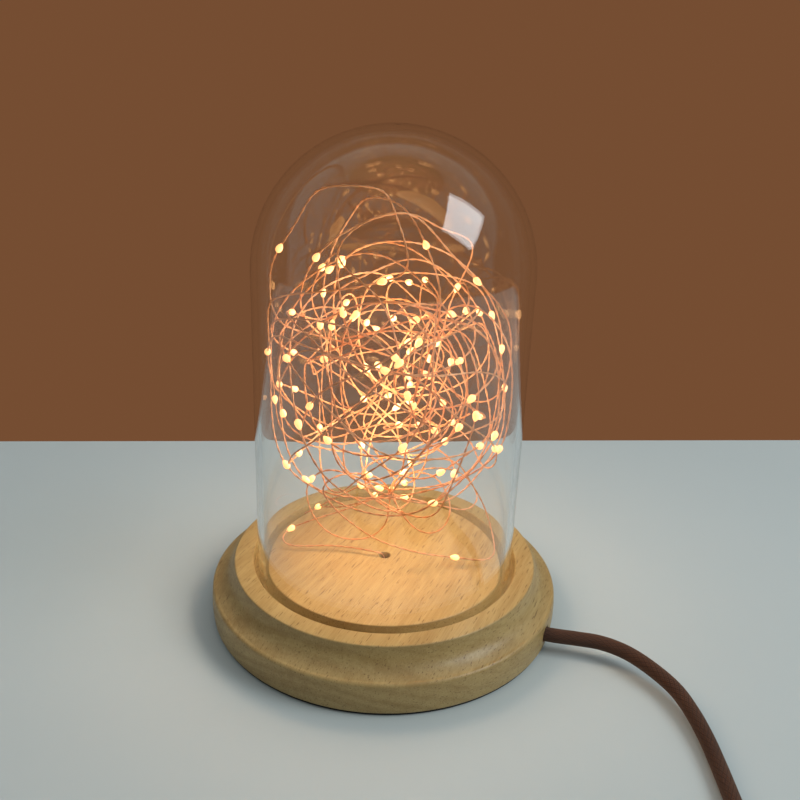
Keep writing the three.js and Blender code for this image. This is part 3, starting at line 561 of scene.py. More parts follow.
@dataclass(frozen=True)
class ClearGlass:
    """Clear blown glass with a faint wave in its wall and a trace of dust. Lamps shine through it."""

    tint: Colour = (0.985, 0.995, 0.99)
    bend: float = 1.47

    def make(self) -> bpy.types.Material:
        """The material."""
        bench = Bench("clear_glass")
        wave = bench.noise((22, 22, 9), detail=1)
        dust = bench.noise((420, 420, 420), detail=4, rough=0.7).between(0.62, 0.82)
        glass = bench.principled(
            Base_Color=self.tint,
            Roughness=0.004 + dust * 0.03,
            IOR=self.bend,
            Transmission_Weight=1.0,
            Normal=bench.bump(wave, 0.0004, 0.12),
        )
        open_way = bench.add("ShaderNodeBsdfTransparent", None, {"Color": (*self.tint, 1.0)})["BSDF"]
        shade_ray = bench.add("ShaderNodeLightPath")["Is Shadow Ray"]
        mixed = bench.add("ShaderNodeMixShader", None, {0: shade_ray, 1: glass, 2: open_way})
        return bench.finish(mixed["Shader"])


@dataclass(frozen=True)
class DrawnCopper:
    """Thin enamelled copper wire, a little uneven in colour along its length."""

    bright: Colour = (0.93, 0.52, 0.27)
    dull: Colour = (0.74, 0.34, 0.14)

    def make(self) -> bpy.types.Material:
        """The material."""
        bench = Bench("drawn_copper")
        patch = bench.noise((60, 60, 60), detail=3)
        fine = bench.noise((900, 900, 900), detail=2)
        return bench.surface(
            Base_Color=bench.blend(self.bright, self.dull, patch.between(0.3, 0.75)),
            Metallic=0.5,
            Roughness=0.30 + fine * 0.16,
            Coat_Weight=0.2,
        )


@dataclass(frozen=True)
class LitResin:
    """A clear resin drop round a lit chip: nearly white at the chip, amber towards its tips."""

    resin: Colour = (0.95, 0.78, 0.5)
    amber: Colour = (0.9, 0.6, 0.3)
    core: Colour = (1.0, 0.92, 0.78)
    tip: Colour = (0.03, 0.013, 0.004)
    strength: float = 60.0

    def make(self) -> bpy.types.Material:
        """The material."""
        bench = Bench("lit_resin")
        heat = bench.add("ShaderNodeAttribute", {"attribute_name": "heat"})["Fac"]
        patch = bench.noise((700, 700, 700), detail=1)
        return bench.surface(
            Base_Color=bench.blend(self.resin, self.amber, patch),
            Roughness=0.12 + patch * 0.08,
            Emission_Color=bench.blend(self.tip, self.core, heat.between(0.1, 0.8)),
            Emission_Strength=self.strength,
        )


@dataclass(frozen=True)
class BraidedTextile:
    """A close braid: two sets of yarns wind round the lead against each other and pass over and under.
    Its colour is lighter on the raised yarns, a painted sheen highlight, and darker in the hollows, painted
    shade.
    """

    dark: Colour = (0.038, 0.014, 0.006)
    light: Colour = (0.125, 0.052, 0.024)
    fluff: Colour = (0.75, 0.5, 0.33)
    yarns: int = 22
    pitch: float = 0.0017

    def make(self) -> bpy.types.Material:
        """The material."""
        bench = Bench("braided_textile")
        surface = bench.add("ShaderNodeUVMap", {"uv_map": "surface"})["UV"]
        split = bench.add("ShaderNodeSeparateXYZ", None, {0: surface})
        around = split["X"] * (math.pi * self.yarns)
        along = split["Y"] * (math.pi / self.pitch)
        right, left = abs((around + along).sine()), abs((around - along).sine())
        over = (around.sine() * along.sine() + 0.5).between(0.2, 0.8)
        height = right * over + left * (1 - over)
        fluff = bench.noise((2600, 2600, 2600), detail=3, rough=0.7)
        paler = bench.noise((55, 55, 55), detail=2)
        # painted light: the weave height blends the colour towards light on the raised yarns (painted sheen
        # highlight) and towards dark in the hollows (painted shade); the two noises add the yarn's own
        # uneven tone
        share = (height * 0.75 + (fluff - 0.5) * 0.7 + (paler - 0.5) * 0.5).between(0.15, 1.05)
        return bench.surface(
            Base_Color=bench.blend(self.dark, self.light, share),
            Roughness=0.62 + fluff * 0.25,
            Sheen_Weight=0.25,
            Sheen_Roughness=0.4,
            Sheen_Tint=self.fluff,
            Normal=bench.bump(height + fluff * 0.35, 0.00022, 0.8),
        )


@dataclass(frozen=True)
class MouldedPlastic:
    """Moulded plastic with a fine spark-eroded grain and slight handling gloss."""

    name: str
    colour: Colour
    roughness: float = 0.42

    def make(self) -> bpy.types.Material:
        """The material."""
        bench = Bench(self.name)
        grain = bench.noise((2400, 2400, 2400), detail=3)
        handled = bench.noise((70, 70, 70), detail=2)
        deep = tuple(value * 0.8 for value in self.colour)
        return bench.surface(
            Base_Color=bench.blend(self.colour, deep, grain * 0.6 + handled * 0.4),
            Roughness=self.roughness + (handled - 0.5) * 0.2,
            Normal=bench.bump(grain, 0.00005, 0.5),
        )


@dataclass(frozen=True)
class PlatedMetal:
    """Plated sheet or turned metal with fine lines along X and a few duller spots."""

    name: str
    colour: Colour
    roughness: float = 0.26

    def make(self) -> bpy.types.Material:
        """The material."""
        bench = Bench(self.name)
        line = bench.noise((120, 4200, 4200), detail=3)
        spot = bench.noise((260, 260, 260), detail=3)
        dull = tuple(value * 0.72 for value in self.colour)
        return bench.surface(
            Base_Color=bench.blend(self.colour, dull, (line * 0.4 + spot * 0.6).between(0.35, 0.75)),
            Metallic=1.0,
            Roughness=self.roughness + (line - 0.5) * 0.2 + spot * 0.08,
            Normal=bench.bump(line, 0.00002, 0.4),
        )


@dataclass(frozen=True)
class FoamPad:
    """Black closed-cell foam with small open pores."""

    colour: Colour = (0.012, 0.012, 0.013)
    dusty: Colour = (0.035, 0.035, 0.036)

    def make(self) -> bpy.types.Material:
        """The material."""
        bench = Bench("foam_pad")
        cell = bench.noise((1800, 1800, 1800), detail=2)
        dust = bench.noise((90, 90, 90), detail=3)
        return bench.surface(
            Base_Color=bench.blend(self.colour, self.dusty, dust.between(0.45, 0.8)),
            Roughness=0.85 + cell * 0.12,
            Normal=bench.bump(cell, 0.0001, 0.8),
        )


@dataclass(frozen=True)
class WovenStrap:
    """Black woven strap: ribs along the band, crossed by fine picks. The raised ribs and picks are painted
    paler, a painted highlight.
    """

    colour: Colour = (0.016, 0.016, 0.017)
    paler: Colour = (0.06, 0.06, 0.062)
    ribs: int = 9
    picks: int = 70

    def make(self) -> bpy.types.Material:
        """The material."""
        bench = Bench("woven_strap")
        surface = bench.add("ShaderNodeUVMap", {"uv_map": "surface"})["UV"]
        split = bench.add("ShaderNodeSeparateXYZ", None, {0: surface})
        rib = abs((split["Y"] * (math.pi * self.ribs)).sine())
        pick = abs((split["X"] * (math.pi * self.picks)).sine())
        fluff = bench.noise((3000, 3000, 3000), detail=2)
        height = rib * 0.6 + pick * 0.4
        # painted highlight: the raised ribs and picks are blended towards the paler colour; the fluff noise
        # adds the yarn's own uneven tone
        return bench.surface(
            Base_Color=bench.blend(self.colour, self.paler, height * 0.5 + fluff * 0.4),
            Roughness=0.75 + fluff * 0.2,
            Sheen_Weight=0.3,
            Normal=bench.bump(height + fluff * 0.3, 0.00025, 0.8),
        )


@dataclass(frozen=True)
class PaleTop:
    """The pale table top that the lamp stands on."""

    colour: Colour = (0.56, 0.62, 0.61)

    def make(self) -> bpy.types.Material:
        """The material."""
        bench = Bench("pale_top")
        cloud = bench.noise((5, 5, 5), detail=2)
        fine = bench.noise((700, 700, 700), detail=2)
        deep = tuple(value * 0.94 for value in self.colour)
        return bench.surface(
            Base_Color=bench.blend(self.colour, deep, cloud),
            Roughness=0.42 + fine * 0.08,
            Specular_IOR_Level=0.35,
        )


# Sub-assemblies


@dataclass
class Studio:
    """Camera, light and table top. The camera was fitted to the lamp's outlines in an 800 pixel square."""

    eye: Point = (-1.52 * MM, -361.4 * MM, 255.08 * MM)
    focal_pixels: float = 959.43
    frame_pixels: float = 800.0
    sensor: float = 36.0
    near_clip: float = 0.01
    pitch: float = -0.408
    yaw: float = -0.016
    roll: float = 0.036
    table_low: Pair = (-0.9, -0.9)
    table_high: Pair = (0.9, 0.165)
    table_thickness: float = 0.012
    table_corner: float = 0.02
    table_turn_deg: float = 4
    window_place: Point = (0.924, -0.277, 0.940)
    window_edge: Point = (0.079, -0.951, -0.299)
    window_size: Pair = (0.66, 0.58)
    window_power: float = 7.0
    window_tint: Colour = (0.90, 0.96, 1.0)
    backdrop: Colour = (0.178, 0.075, 0.032)
    sky_way: Point = (0.25, 0.50, 0.83)
    sky_span: Pair = (-0.4, 0.9)
    sky_high: Colour = (0.50, 0.54, 0.56)
    sky_low: Colour = (0.08, 0.08, 0.08)

    def build(self) -> None:
        """Makes the camera, the table top, the window light and the world."""
        self._camera()
        self._table()
        self._window()
        self._world()
        bpy.context.scene.view_settings.view_transform = "Standard"

    def _camera(self) -> None:
        """The camera at the photograph's place: yaw and pitch of a level view, then roll about its axis."""
        data = bpy.data.cameras.new("camera")
        data.sensor_width = self.sensor
        data.lens = self.focal_pixels / self.frame_pixels * self.sensor
        data.clip_start = self.near_clip
        camera = bpy.data.objects.new("camera", data)
        turn = Matrix.Rotation(self.yaw, 4, "Z") @ Matrix.Rotation(math.pi / 2 + self.pitch, 4, "X")
        camera.matrix_world = Matrix.Translation(self.eye) @ turn @ Matrix.Rotation(self.roll, 4, "Z")
        bpy.context.scene.collection.objects.link(camera)
        bpy.context.scene.camera = camera

    def _table(self) -> None:
        """A thin slab with rounded corners whose top is at height 0."""
        size = np.subtract(self.table_high, self.table_low)
        middle = np.add(self.table_high, self.table_low) / 2
        turn = np.array(Matrix.Rotation(math.radians(self.table_turn_deg), 2))
        outline = (rounded_outline(*size, self.table_corner) + middle) @ turn.T
        slab = stacked_grid([outline, outline], [-self.table_thickness, 0.0])
        table = Shell().add(slab).make("table_top", None, 30)
        table.data.materials.append(PaleTop().make())

    def _window(self) -> None:
        """A soft rectangular light to the right, where the photograph's window is mirrored in the glass."""
        data = bpy.data.lights.new("window", "AREA")
        data.shape = "RECTANGLE"
        data.size, data.size_y = self.window_size
        data.energy = self.window_power
        data.color = self.window_tint
        light = bpy.data.objects.new("window", data)
        back = Vector(self.window_place).normalized()
        up = back.cross(Vector(self.window_edge)).normalized()
        turn = Matrix((up.cross(back), up, back)).transposed().to_4x4()
        light.matrix_world = Matrix.Translation(self.window_place) @ turn
        bpy.context.scene.collection.objects.link(light)

    def _world(self) -> None:
        """Soft light from all round, more from above and behind; seen directly, mirrored or through glass,
        the plain backdrop."""
        bench = Bench("surround", world=True)
        way = bench.add("ShaderNodeTexCoord")["Generated"]
        rise = bench.add("ShaderNodeVectorMath", {"operation": "DOT_PRODUCT"}, {0: way, 1: self.sky_way})
        sky = bench.blend(self.sky_low, self.sky_high, rise["Value"].between(*self.sky_span))
        path = bench.add("ShaderNodeLightPath")
        seen = path["Is Camera Ray"].larger(path["Is Glossy Ray"]).larger(path["Is Transmission Ray"])
        colour = bench.blend(sky, self.backdrop, seen)
        light = bench.add("ShaderNodeBackground", None, {"Color": colour})
        bpy.context.scene.world = bench.finish(light["Background"])


@dataclass
class TextileLead:
    """The lead from the wood to the switch, with its coil and tie, and the short lead on to the plug. The
    routes' points are listed, in millimetres, and the coil's turns are worked out."""

    diameter: float = 6 * MM
    sides: int = 24
    spacing: float = 2.0 * MM
    hole_turn_deg: float = -14
    hole_offset: float = -14.5
    axis_height: float = 8
    inner_end: float = 24
    free_start: float = 46
    exit_place: float = 71.5
    coil_middle: Pair = (77, -178)
    coil_middle_radius: float = 34.5
    coil_pitch: float = 6.7
    coil_layer_turns: float = 2.875
    coil_climb_turns: float = 0.5
    coil_low: float = 4.1
    coil_stations: int = 384
    tie_width: float = 9
    tie_thickness: float = 0.8
    tie_turn_deg: float = 60
    tie_ease: float = 0.3
    fit_gap: float = 0.3
    end_gap: float = 0.2
    switch_ends: Pair = (31, -29)
    plug_start: Pair = (-30, -158)
    declared_length: float = 1.575
    plug_length: float = 0.124

    def __post_init__(self) -> None:
        """Works out the coil's radii and the places where its ends leave it."""
        swing = self.coil_pitch * self.coil_layer_turns / 2
        self.coil_outer = self.coil_middle_radius + swing
        self.coil_inner = self.coil_middle_radius - swing
        self.coil_high = self.coil_low + self.coil_pitch
        self.tail_line = self.coil_middle[1] - self.coil_outer

    def in_wood(self, place: float) -> Point:
        """A point on the hole's axis, in millimetres."""
        turn = math.radians(self.hole_turn_deg)
        x = place * math.cos(turn) - self.hole_offset * math.sin(turn)
        y = place * math.sin(turn) + self.hole_offset * math.cos(turn)
        return x, y, self.axis_height

    def coil_points(self) -> Array:
        """The coil: in on the table, up a layer in the half turn where the spiral reverses, and out again.
        Radius falls and rises by one pitch a turn, and the climb is a smooth step."""
        turns = np.linspace(0, 2 * self.coil_layer_turns + self.coil_climb_turns, self.coil_stations)
        into = turns - self.coil_layer_turns
        climb = np.clip(into / self.coil_climb_turns, 0, 1)
        dip = self.coil_pitch * self.coil_climb_turns * climb * (1 - climb)
        past = np.maximum(-into, into - self.coil_climb_turns)
        radius = self.coil_inner + self.coil_pitch * np.maximum(past, 0) - dip
        angle = -2 * np.pi * turns
        return np.stack(
            [
                self.coil_middle[0] + radius * np.cos(angle),
                self.coil_middle[1] + radius * np.sin(angle),
                self.coil_low + self.coil_pitch * climb * climb * (3 - 2 * climb),
            ],
            1,
        )

    def run_points(self) -> list[Point]:
        """From inside the hole down to the table and along it to the coil."""
        start = self.coil_middle[0] + self.coil_outer
        return [
            *[self.in_wood(place) for place in (self.free_start, 58, 68, 78)],
            (81, -34.6, 8),
            (90.4, -36.6, 7.8),
            (99.9, -41.8, 7.3),
            (108.4, -50.9, 6.5),
            (115.3, -62, 5.5),
            (118.7, -73.6, 4.5),
            (120.5, -85.9, 3.6),
            (121.1, -99.5, 3.1),
            (121.1, -114.6, 3.1),
            (121.1, -132, 3.3),
            (start, -152, self.coil_low - 0.2),
            (start, -163, self.coil_low),
            (start, -172, self.coil_low),
        ]

    def tail_points(self) -> list[Point]:
        """From the coil down to the switch."""
        return [
            (71, self.tail_line, self.coil_high),
            (62, self.tail_line, self.coil_high),
            (52, self.tail_line, 9.4),
            (40, self.tail_line, self.axis_height),
            (self.switch_ends[0] + self.end_gap, self.tail_line, self.axis_height),
        ]

    def plug_points(self) -> list[Point]:
        """From the switch round to the plug."""
        return [
            (self.switch_ends[1] - self.end_gap, self.tail_line, self.axis_height),
            (-35, self.tail_line, 7.8),
            (-45, self.tail_line + 0.8, 5.6),
            (-57, -217, 3.6),
            (-67, -207, 3.1),
            (-73, -192, 3.1),
            (-71, -176, 3.1),
            (-62, -164.5, 3.2),
            (-50, -159.3, 3.6),
            (-40, self.plug_start[1], 4),
            (self.plug_start[0] - self.end_gap, self.plug_start[1], 4),
        ]

    def tube(self, name: str, path: Array, finish: bpy.types.Material, *nodes: str) -> bpy.types.Object:
        """A round lead along a path, with its map in turns round it and metres along it.

        Args:
            name: the piece's name.
            path: the lead's middle line, in metres.
            finish: its material.
            nodes: the nodes of the frame that it replaces.

        Returns:
            The new piece.
        """
        shell = Shell().add(ring_grid(path, self.diameter / 2, self.sides), run=run_along(path))
        return dressed(shell.make(name, Body.BASE), finish, "brown_textile", *nodes)

    def build(self, switch: list[bpy.types.Object], plug: list[bpy.types.Object]) -> None:
        """Args:
            switch: not used.
            plug: not used.
        """
        finish = BraidedTextile().make()
        joined = np.vstack([self.run_points(), self.coil_points(), self.tail_points()])
        lead_path = smooth_path(joined * MM, self.spacing, 12)
        lead = self.tube("lead", lead_path, finish, "cord_run", "cord_coil", "cord_tail")
        stub = np.array([self.in_wood(place) for place in (self.inner_end, self.free_start)])
        self.tube("lead_in_base", smooth_path(stub * MM, self.spacing), finish)
        plug_path = smooth_path(np.array(self.plug_points()) * MM, self.spacing)
        plug_lead = self.tube("plug_lead", plug_path, finish, "plug_cord")
        self.tie()

    def tie(self) -> bpy.types.Object:
        """A strap closed round the coil's turns: a rounded outline carried through a flat section with
        eased edges."""
        cord = self.diameter / MM
        inner_wide = self.coil_pitch * self.coil_layer_turns + cord + self.coil_pitch
        inner_high = self.coil_pitch + cord + 2 * self.fit_gap
        half = self.tie_width / 2
        ease, thick = self.tie_ease, self.tie_thickness
        section = [(thick, half - ease), (thick - ease, half), (ease, half), (0, half - ease)]
        section += [(out, -side) for out, side in reversed(section)]

        def ring(out: float, side: float) -> Array:
            """The strap's outline grown by a distance, at a place across its width."""
            outline = rounded_outline(inner_wide + 2 * out, inner_high + 2 * out, cord / 2 + out)
            return np.insert(outline, 1, side, axis=1)

        grid = np.stack([ring(out, side) for out, side in section]) * MM
        grid += [self.coil_middle_radius * MM, 0, (inner_high / 2 + thick) * MM]
        turn = np.array(Matrix.Rotation(math.radians(self.tie_turn_deg), 3, "Z"))
        grid = grid @ turn.T + [self.coil_middle[0] * MM, self.coil_middle[1] * MM, 0]
        run = np.array([side / self.tie_width for _, side in section])
        piece = Shell().add(grid, ring=True, run=run).make("lead_tie", Body.BASE)
        return dressed(piece, WovenStrap().make(), "black_strap", "coil_tie")


@dataclass
class TurnedBase:
    """The wooden base and the pad under it."""

    sides: int = 192
    foot_radius: float = 74.6 * MM
    edge_radius: float = 75 * MM
    bulge: float = 0.3 * MM
    edge_height: float = 15 * MM
    edge_round: float = 1.6 * MM
    rim_radius: float = 65.5 * MM
    rim_round: float = 0.7 * MM
    cove_depth: float = 1.9 * MM
    groove_outer: float = 57.2 * MM
    disc_radius: float = 51 * MM
    disc_drop: float = 0.5 * MM
    groove_depth: float = 6 * MM
    crease_round: float = 0.5 * MM
    hole_radius: float = 2.5 * MM
    recess_radius: float = 46 * MM
    recess_top: float = 15 * MM
    cord_hole_radius: float = 3.5 * MM
    drill_reach: Pair = (30, 90)
    drill_step: float = 20 * MM
    drill_sides: int = 40
    pad_ease: float = 0.35 * MM
    band_rows: int = 13
    cove_rows: int = 28

    def profile(self) -> Array:
        """The turned outline, closed: recess, foot, swelling band, rounded edge, cove, rim, groove, disc
        and wire hole. The cove sinks below a straight slope by depth times sin(pi s)."""
        low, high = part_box("wood_base")
        bottom, rim = low.z, high.z
        disc, floor, ease = rim - self.disc_drop, rim - self.groove_depth, self.crease_round
        round_radii = (self.edge_round, self.edge_round)
        share = np.linspace(0, 1, self.band_rows)
        band_low, band_high = bottom + self.edge_round, self.edge_height - self.edge_round
        band = np.linspace((self.edge_radius, band_low), (self.edge_radius, band_high), len(share))
        band[:, 0] += self.bulge * np.sin(np.pi * share)
        start = np.array([self.edge_radius - self.edge_round, self.edge_height])
        end = np.array([self.rim_radius, rim - self.rim_round])
        slope = (end - start) / np.linalg.norm(end - start)
        share = np.linspace(0, 1, self.cove_rows)[:, None]
        sink = self.cove_depth * np.sin(np.pi * share)
        cove = start + share * (end - start) + sink * np.array([-slope[1], slope[0]])
        foot_radii = (self.edge_radius - self.foot_radius, self.edge_round)
        return np.concatenate(
            [
                [[self.hole_radius, self.recess_top], [self.recess_radius, self.recess_top]],
                [[self.recess_radius, bottom]],
                arc((self.foot_radius, band_low), foot_radii, (-90, 0), 6),
                band[1:-1],
                arc((start[0], band_high), round_radii, (0, 90), 8)[:-1],
                cove,
                arc((end[0] - self.rim_round, end[1]), (self.rim_round, self.rim_round), (0, 90), 5)[1:],
                arc((self.groove_outer + ease, rim - ease), (ease, ease), (90, 180), 4),
                arc((self.groove_outer - ease, floor + ease), (ease, ease), (0, -90), 4),
                arc((self.disc_radius + ease, floor + ease), (ease, ease), (-90, -180), 4),
                arc((self.disc_radius - ease, disc - ease), (ease, ease), (0, 90), 4),
                arc((self.hole_radius + ease, disc - ease), (ease, ease), (90, 180), 4),
            ]
        )

    def build(self, lead: TextileLead) -> None:
        """Turns the wood, drills the lead's hole and makes the pad.

        Args:
            lead: the lead, for the hole's axis.
        """
        shell = Shell().add(turned_grid(self.profile(), self.sides), ring=True)
        wood = shell.make("turned_base", Body.BASE, 50)
        wood.data.materials.append(TurnedWood().make())
        self._drill(wood, lead)
        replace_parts(wood, "wood_base")
        low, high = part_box("base_pad")
        ease, radius = self.pad_ease, high.x
        edge = [
            arc((radius - ease, low.z + ease), (ease, ease), (-90, 0), 4),
            arc((radius - ease, high.z - ease), (ease, ease), (0, 90), 4),
        ]
        pad = Shell().add(turned_grid(np.concatenate(edge), self.sides)).make("foot_pad", Body.BASE)
        dressed(pad, FoamPad().make(), "black_pad", "base_pad")

    def _drill(self, wood: bpy.types.Object, lead: TextileLead) -> None:
        """Cuts the lead's round hole through the wall into the recess."""
        ends = np.array([lead.in_wood(place) for place in self.drill_reach]) * MM
        grid = ring_grid(smooth_path(ends, self.drill_step), self.cord_hole_radius, self.drill_sides)
        cutter = Shell().add(grid).make("drill", Body.BASE)
        cut = wood.modifiers.new("drill", "BOOLEAN")
        cut.operation = "DIFFERENCE"
        cut.object = cutter
        bpy.context.view_layer.update()
        cut_wood = wood.evaluated_get(bpy.context.evaluated_depsgraph_get())
        wood.data = bpy.data.meshes.new_from_object(cut_wood)
        wood.data.name = "turned_base"
        wood.modifiers.clear()
        bpy.data.objects.remove(cutter)


@dataclass
class GlassDome:
    """The clear dome: a straight wall under a half round crown, open below."""

    sides: int = 160
    wall: float = 2.5 * MM
    lip_round: float = 1.1 * MM
    wall_rows: int = 20
    crown_steps: int = 40
    near_pole: float = 89.7

    def build(self) -> None:
        """Blows the dome: the outer outline from the crown down, round the lip and up the inside."""
        low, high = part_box("glass_dome")
        outer, bottom, top = high.x, low.z, high.z
        inner, lip = outer - self.wall, self.lip_round
        crown = top - outer
        rise = np.linspace(crown, bottom + lip, self.wall_rows)[1:-1, None]
        profile = np.concatenate(
            [
                arc((0, crown), (outer, outer), (self.near_pole, 0), self.crown_steps),
                np.hstack([np.full_like(rise, outer), rise]),
                arc((outer - lip, bottom + lip), (lip, lip), (0, -90), 6),
                arc((inner + lip, bottom + lip), (lip, lip), (-90, -180), 6),
                np.hstack([np.full_like(rise, inner), rise[::-1]]),
                arc((0, crown), (inner, inner), (0, self.near_pole), self.crown_steps),
            ]
        )
        dome = Shell().add(turned_grid(profile, self.sides)).make("dome", Body.DOME, 60)
        dressed(dome, ClearGlass().make(), "clear_glass", "glass_dome")


@dataclass(frozen=True)
class Loop:
    """A loop of wire given in millimetres: an ellipse about a middle, by its two half axes."""

    middle: Point
    across: Point
    rise: Point


@dataclass
class LightString:
    """The copper wire and its light drops: a lead up through the disc, petals over the disc, and a heap of
    loops that fills the dome's width, with a few that stand up from it. Listed points are in
    millimetres."""

    seed: int = 21
    loops: int = 33
    middle: float = 111 * MM
    heap_radius: float = 62 * MM
    heap_stretch: float = 0.96
    least_loop: float = 28 * MM
    largest_loop: float = 54 * MM
    glass_room: float = 51 * MM
    wobble: float = 1.2 * MM
    wobble_rates: Pair = (1.7, 5.3)
    size_lean: float = 0.7
    least_off: float = 0.6
    strand_radius: float = 0.22 * MM
    strand_offset: float = 0.23 * MM
    lay: float = 9 * MM
    strand_sides: int = 5
    spacing: float = 2.0 * MM
    fine_spacing: float = 1.0 * MM
    drops: int = 100
    first_drop: float = 0.075
    last_drop: float = 0.012
    drop_length: float = 4.4 * MM
    drop_radius: float = 1.3 * MM
    drop_sides: int = 8
    drop_rings: int = 7
    drop_reach: float = 0.97
    drop_swell: float = 0.35
    glow_heights: tuple[float, ...] = (75 * MM, 105 * MM, 135 * MM)
    glow_radius: float = 24 * MM
    glow_power: float = 0.56
    glow_tint: Colour = (1.0, 0.68, 0.45)
    turn_steps: int = 110
    glass_power: int = 12
    corner_window: int = 11
    petal_points: tuple[Point, ...] = (
        (-4.8, 1.2, 8), (-3.2, 0.8, 8.2), (-0.9, 0.2, 9.4), (0, 0, 13), (0, 0, 20),
        (-0.4, -0.6, 25.6), (-4, -1.5, 27.2), (-14, 1, 27.4), (-26, 2.3, 27.4), (-37, 1.5, 27.2),
        (-44, 2.5, 27.4), (-46.5, 7, 28.5), (-43, 10.5, 30.5), (-33, 11, 35), (-18, 9, 42),
        (-7, 4, 50), (2, -2, 58), (-9, -6, 65), (-26, 0, 66), (-34, 2, 58),
        (-34, 3, 48), (-30, 3, 39), (-24, 3, 33), (-15.5, 3, 30.5), (-6, 5, 31),
        (-0.7, 6, 36), (1, 2, 46), (1, 0, 57), (-6, -8, 68), (-20, -18, 73),
        (-26, -19, 68), (-22, -18, 59), (-13, -16, 49), (-2.3, -13, 40), (15, -10.5, 33),
        (31.6, -7.5, 29.2), (44, -6.5, 27.8), (48.4, -2, 28.2), (48.2, 4, 33), (44, 8, 45),
        (37, 6, 58), (28, 2, 71), (14, 2, 70), (2, 1, 58), (6, -3, 49),
        (13, -6, 42), (20, -6, 40), (26, -3, 43), (27.5, 1, 51), (20, 5, 62),
        (6, 3, 63), (1, 1, 56), (12, 4, 51), (25, 9, 45), (37, 14, 41),
        (42, 19, 44), (34, 21, 55), (14, 10, 62), (2, 2, 57), (5, 14, 46),
        (10, 31, 34), (9, 43, 28.5), (-1, 45, 28), (-9, 36, 32), (-6, 18, 44),
        (0, 3, 57), (-8, 8, 48), (-22, 23, 35), (-31, 34, 28.5), (-38, 27, 29),
        (-30, 15, 40), (-10, 5, 57), (6, -8, 70),
    )
    tall_loops: tuple[tuple[int, Loop], ...] = (
        (5, Loop((-24, -6, 158), (21, -4, 26.5), (-17, 6, 13.6))),
        (13, Loop((15, -6, 128), (35, 6, -8), (-12, -4, 48))),
        (21, Loop((-2, 8, 148), (33, 10, 2), (4, -8, 27))),
        (30, Loop((-6, 14, 140), (-22, 30, 10), (8, 4, 36))),
    )

    def heap_path(self) -> Array:
        """The heap: whole loops in planes of all ways, each c + r (cos a u + sin a w) with its middle as far
        off the heap's as its size leaves room for. In the second half of each turn the wire goes over from
        its loop to the next, by a smooth step, and a small wobble is added."""
        rng = np.random.default_rng(self.seed)
        count = self.loops + 1
        share = rng.uniform(0, 1, count) ** self.size_lean
        size = self.least_loop + (self.largest_loop - self.least_loop) * share
        way = unit(rng.normal(size=(count, 3)))
        middle = way * ((self.heap_radius - size) * rng.uniform(self.least_off, 1, count))[:, None]
        middle *= [1, 1, self.heap_stretch]
        middle[:, 2] += self.middle
        across = unit(rng.normal(size=(count, 3)))
        rise = unit(np.cross(across, rng.normal(size=(count, 3)))) * size[:, None]
        across = across * size[:, None]
        for place, tall in self.tall_loops:
            middle[place] = np.array(tall.middle) * MM
            across[place] = np.array(tall.across) * MM
            rise[place] = np.array(tall.rise) * MM
        turn = np.linspace(0, self.loops, self.loops * self.turn_steps, endpoint=False)
        whole = turn.astype(int)
        share = np.clip(2 * (turn - whole) - 1, 0, 1)
        over = (share * share * (3 - 2 * share))[:, None]
        cosine, sine = np.cos(2 * np.pi * turn)[:, None], np.sin(2 * np.pi * turn)[:, None]
        here, there = (middle[k] + cosine * across[k] + sine * rise[k] for k in (whole, whole + 1))
        points = here * (1 - over) + there * over
        rate, phase = rng.uniform(*self.wobble_rates, (3, 3)), rng.uniform(0, 2 * np.pi, (3, 3))
        points += self.wobble * np.sin(2 * np.pi * rate[:, :, None] * turn + phase[:, :, None]).sum(0).T
        return self._keep_off_glass(points)

    def _keep_off_glass(self, points: Array) -> Array:
        """Draws points in so that they stay inside the glass: with p the power, a distance d becomes
        d / (1 + (d / room)^p)^(1/p), from the upright up to the crown's middle and from that middle above
        it."""
        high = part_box("glass_dome")[1]
        anchor = np.zeros_like(points)
        anchor[:, 2] = np.minimum(points[:, 2], high.z - high.x)
        away = points - anchor
        far = np.linalg.norm(away, axis=1, keepdims=True)
        return anchor + away / (1 + (far / self.glass_room) ** self.glass_power) ** (1 / self.glass_power)

    def route(self) -> Array:
        """The whole wire, with its corners rounded by a running mean."""
        petals = smooth_path(np.array(self.petal_points) * MM, self.fine_spacing)
        path = even(np.concatenate([petals, self.heap_path()]), self.fine_spacing)
        kernel = np.hanning(self.corner_window)
        kernel /= kernel.sum()
        pad = len(kernel) // 2
        padded = np.pad(path, ((pad, pad), (0, 0)), "edge")
        soft = np.stack([np.convolve(padded[:, axis], kernel, "valid") for axis in range(3)], 1)
        return even(soft, self.spacing)

    def build(self) -> None:
        """Draws the wire as two strands laid round each other, and hangs the drops on it."""
        path = self.route()
        tangent, side, other = carried_frame(path)
        run = self.spacing * np.arange(len(path))
        lay = 2 * np.pi * run / self.lay
        shell = Shell()
        for half in (0, np.pi):
            off = np.cos(lay + half)[:, None] * side + np.sin(lay + half)[:, None] * other
            strand = path + self.strand_offset * off
            shell.add(ring_grid(strand, self.strand_radius, self.strand_sides), run=run)
        wire = shell.make("copper_wire", Body.BASE, 180)
        dressed(wire, DrawnCopper().make(), "copper_wire", "light_string")
        ends = self.first_drop / self.spacing, len(path) - round(self.last_drop / self.spacing)
        stations = np.linspace(*ends, self.drops).astype(int)
        self._hang(path[stations], tangent[stations], side[stations], other[stations])
        self._glow()
        LOG.info("copper wire: %.2f m long", run[-1])

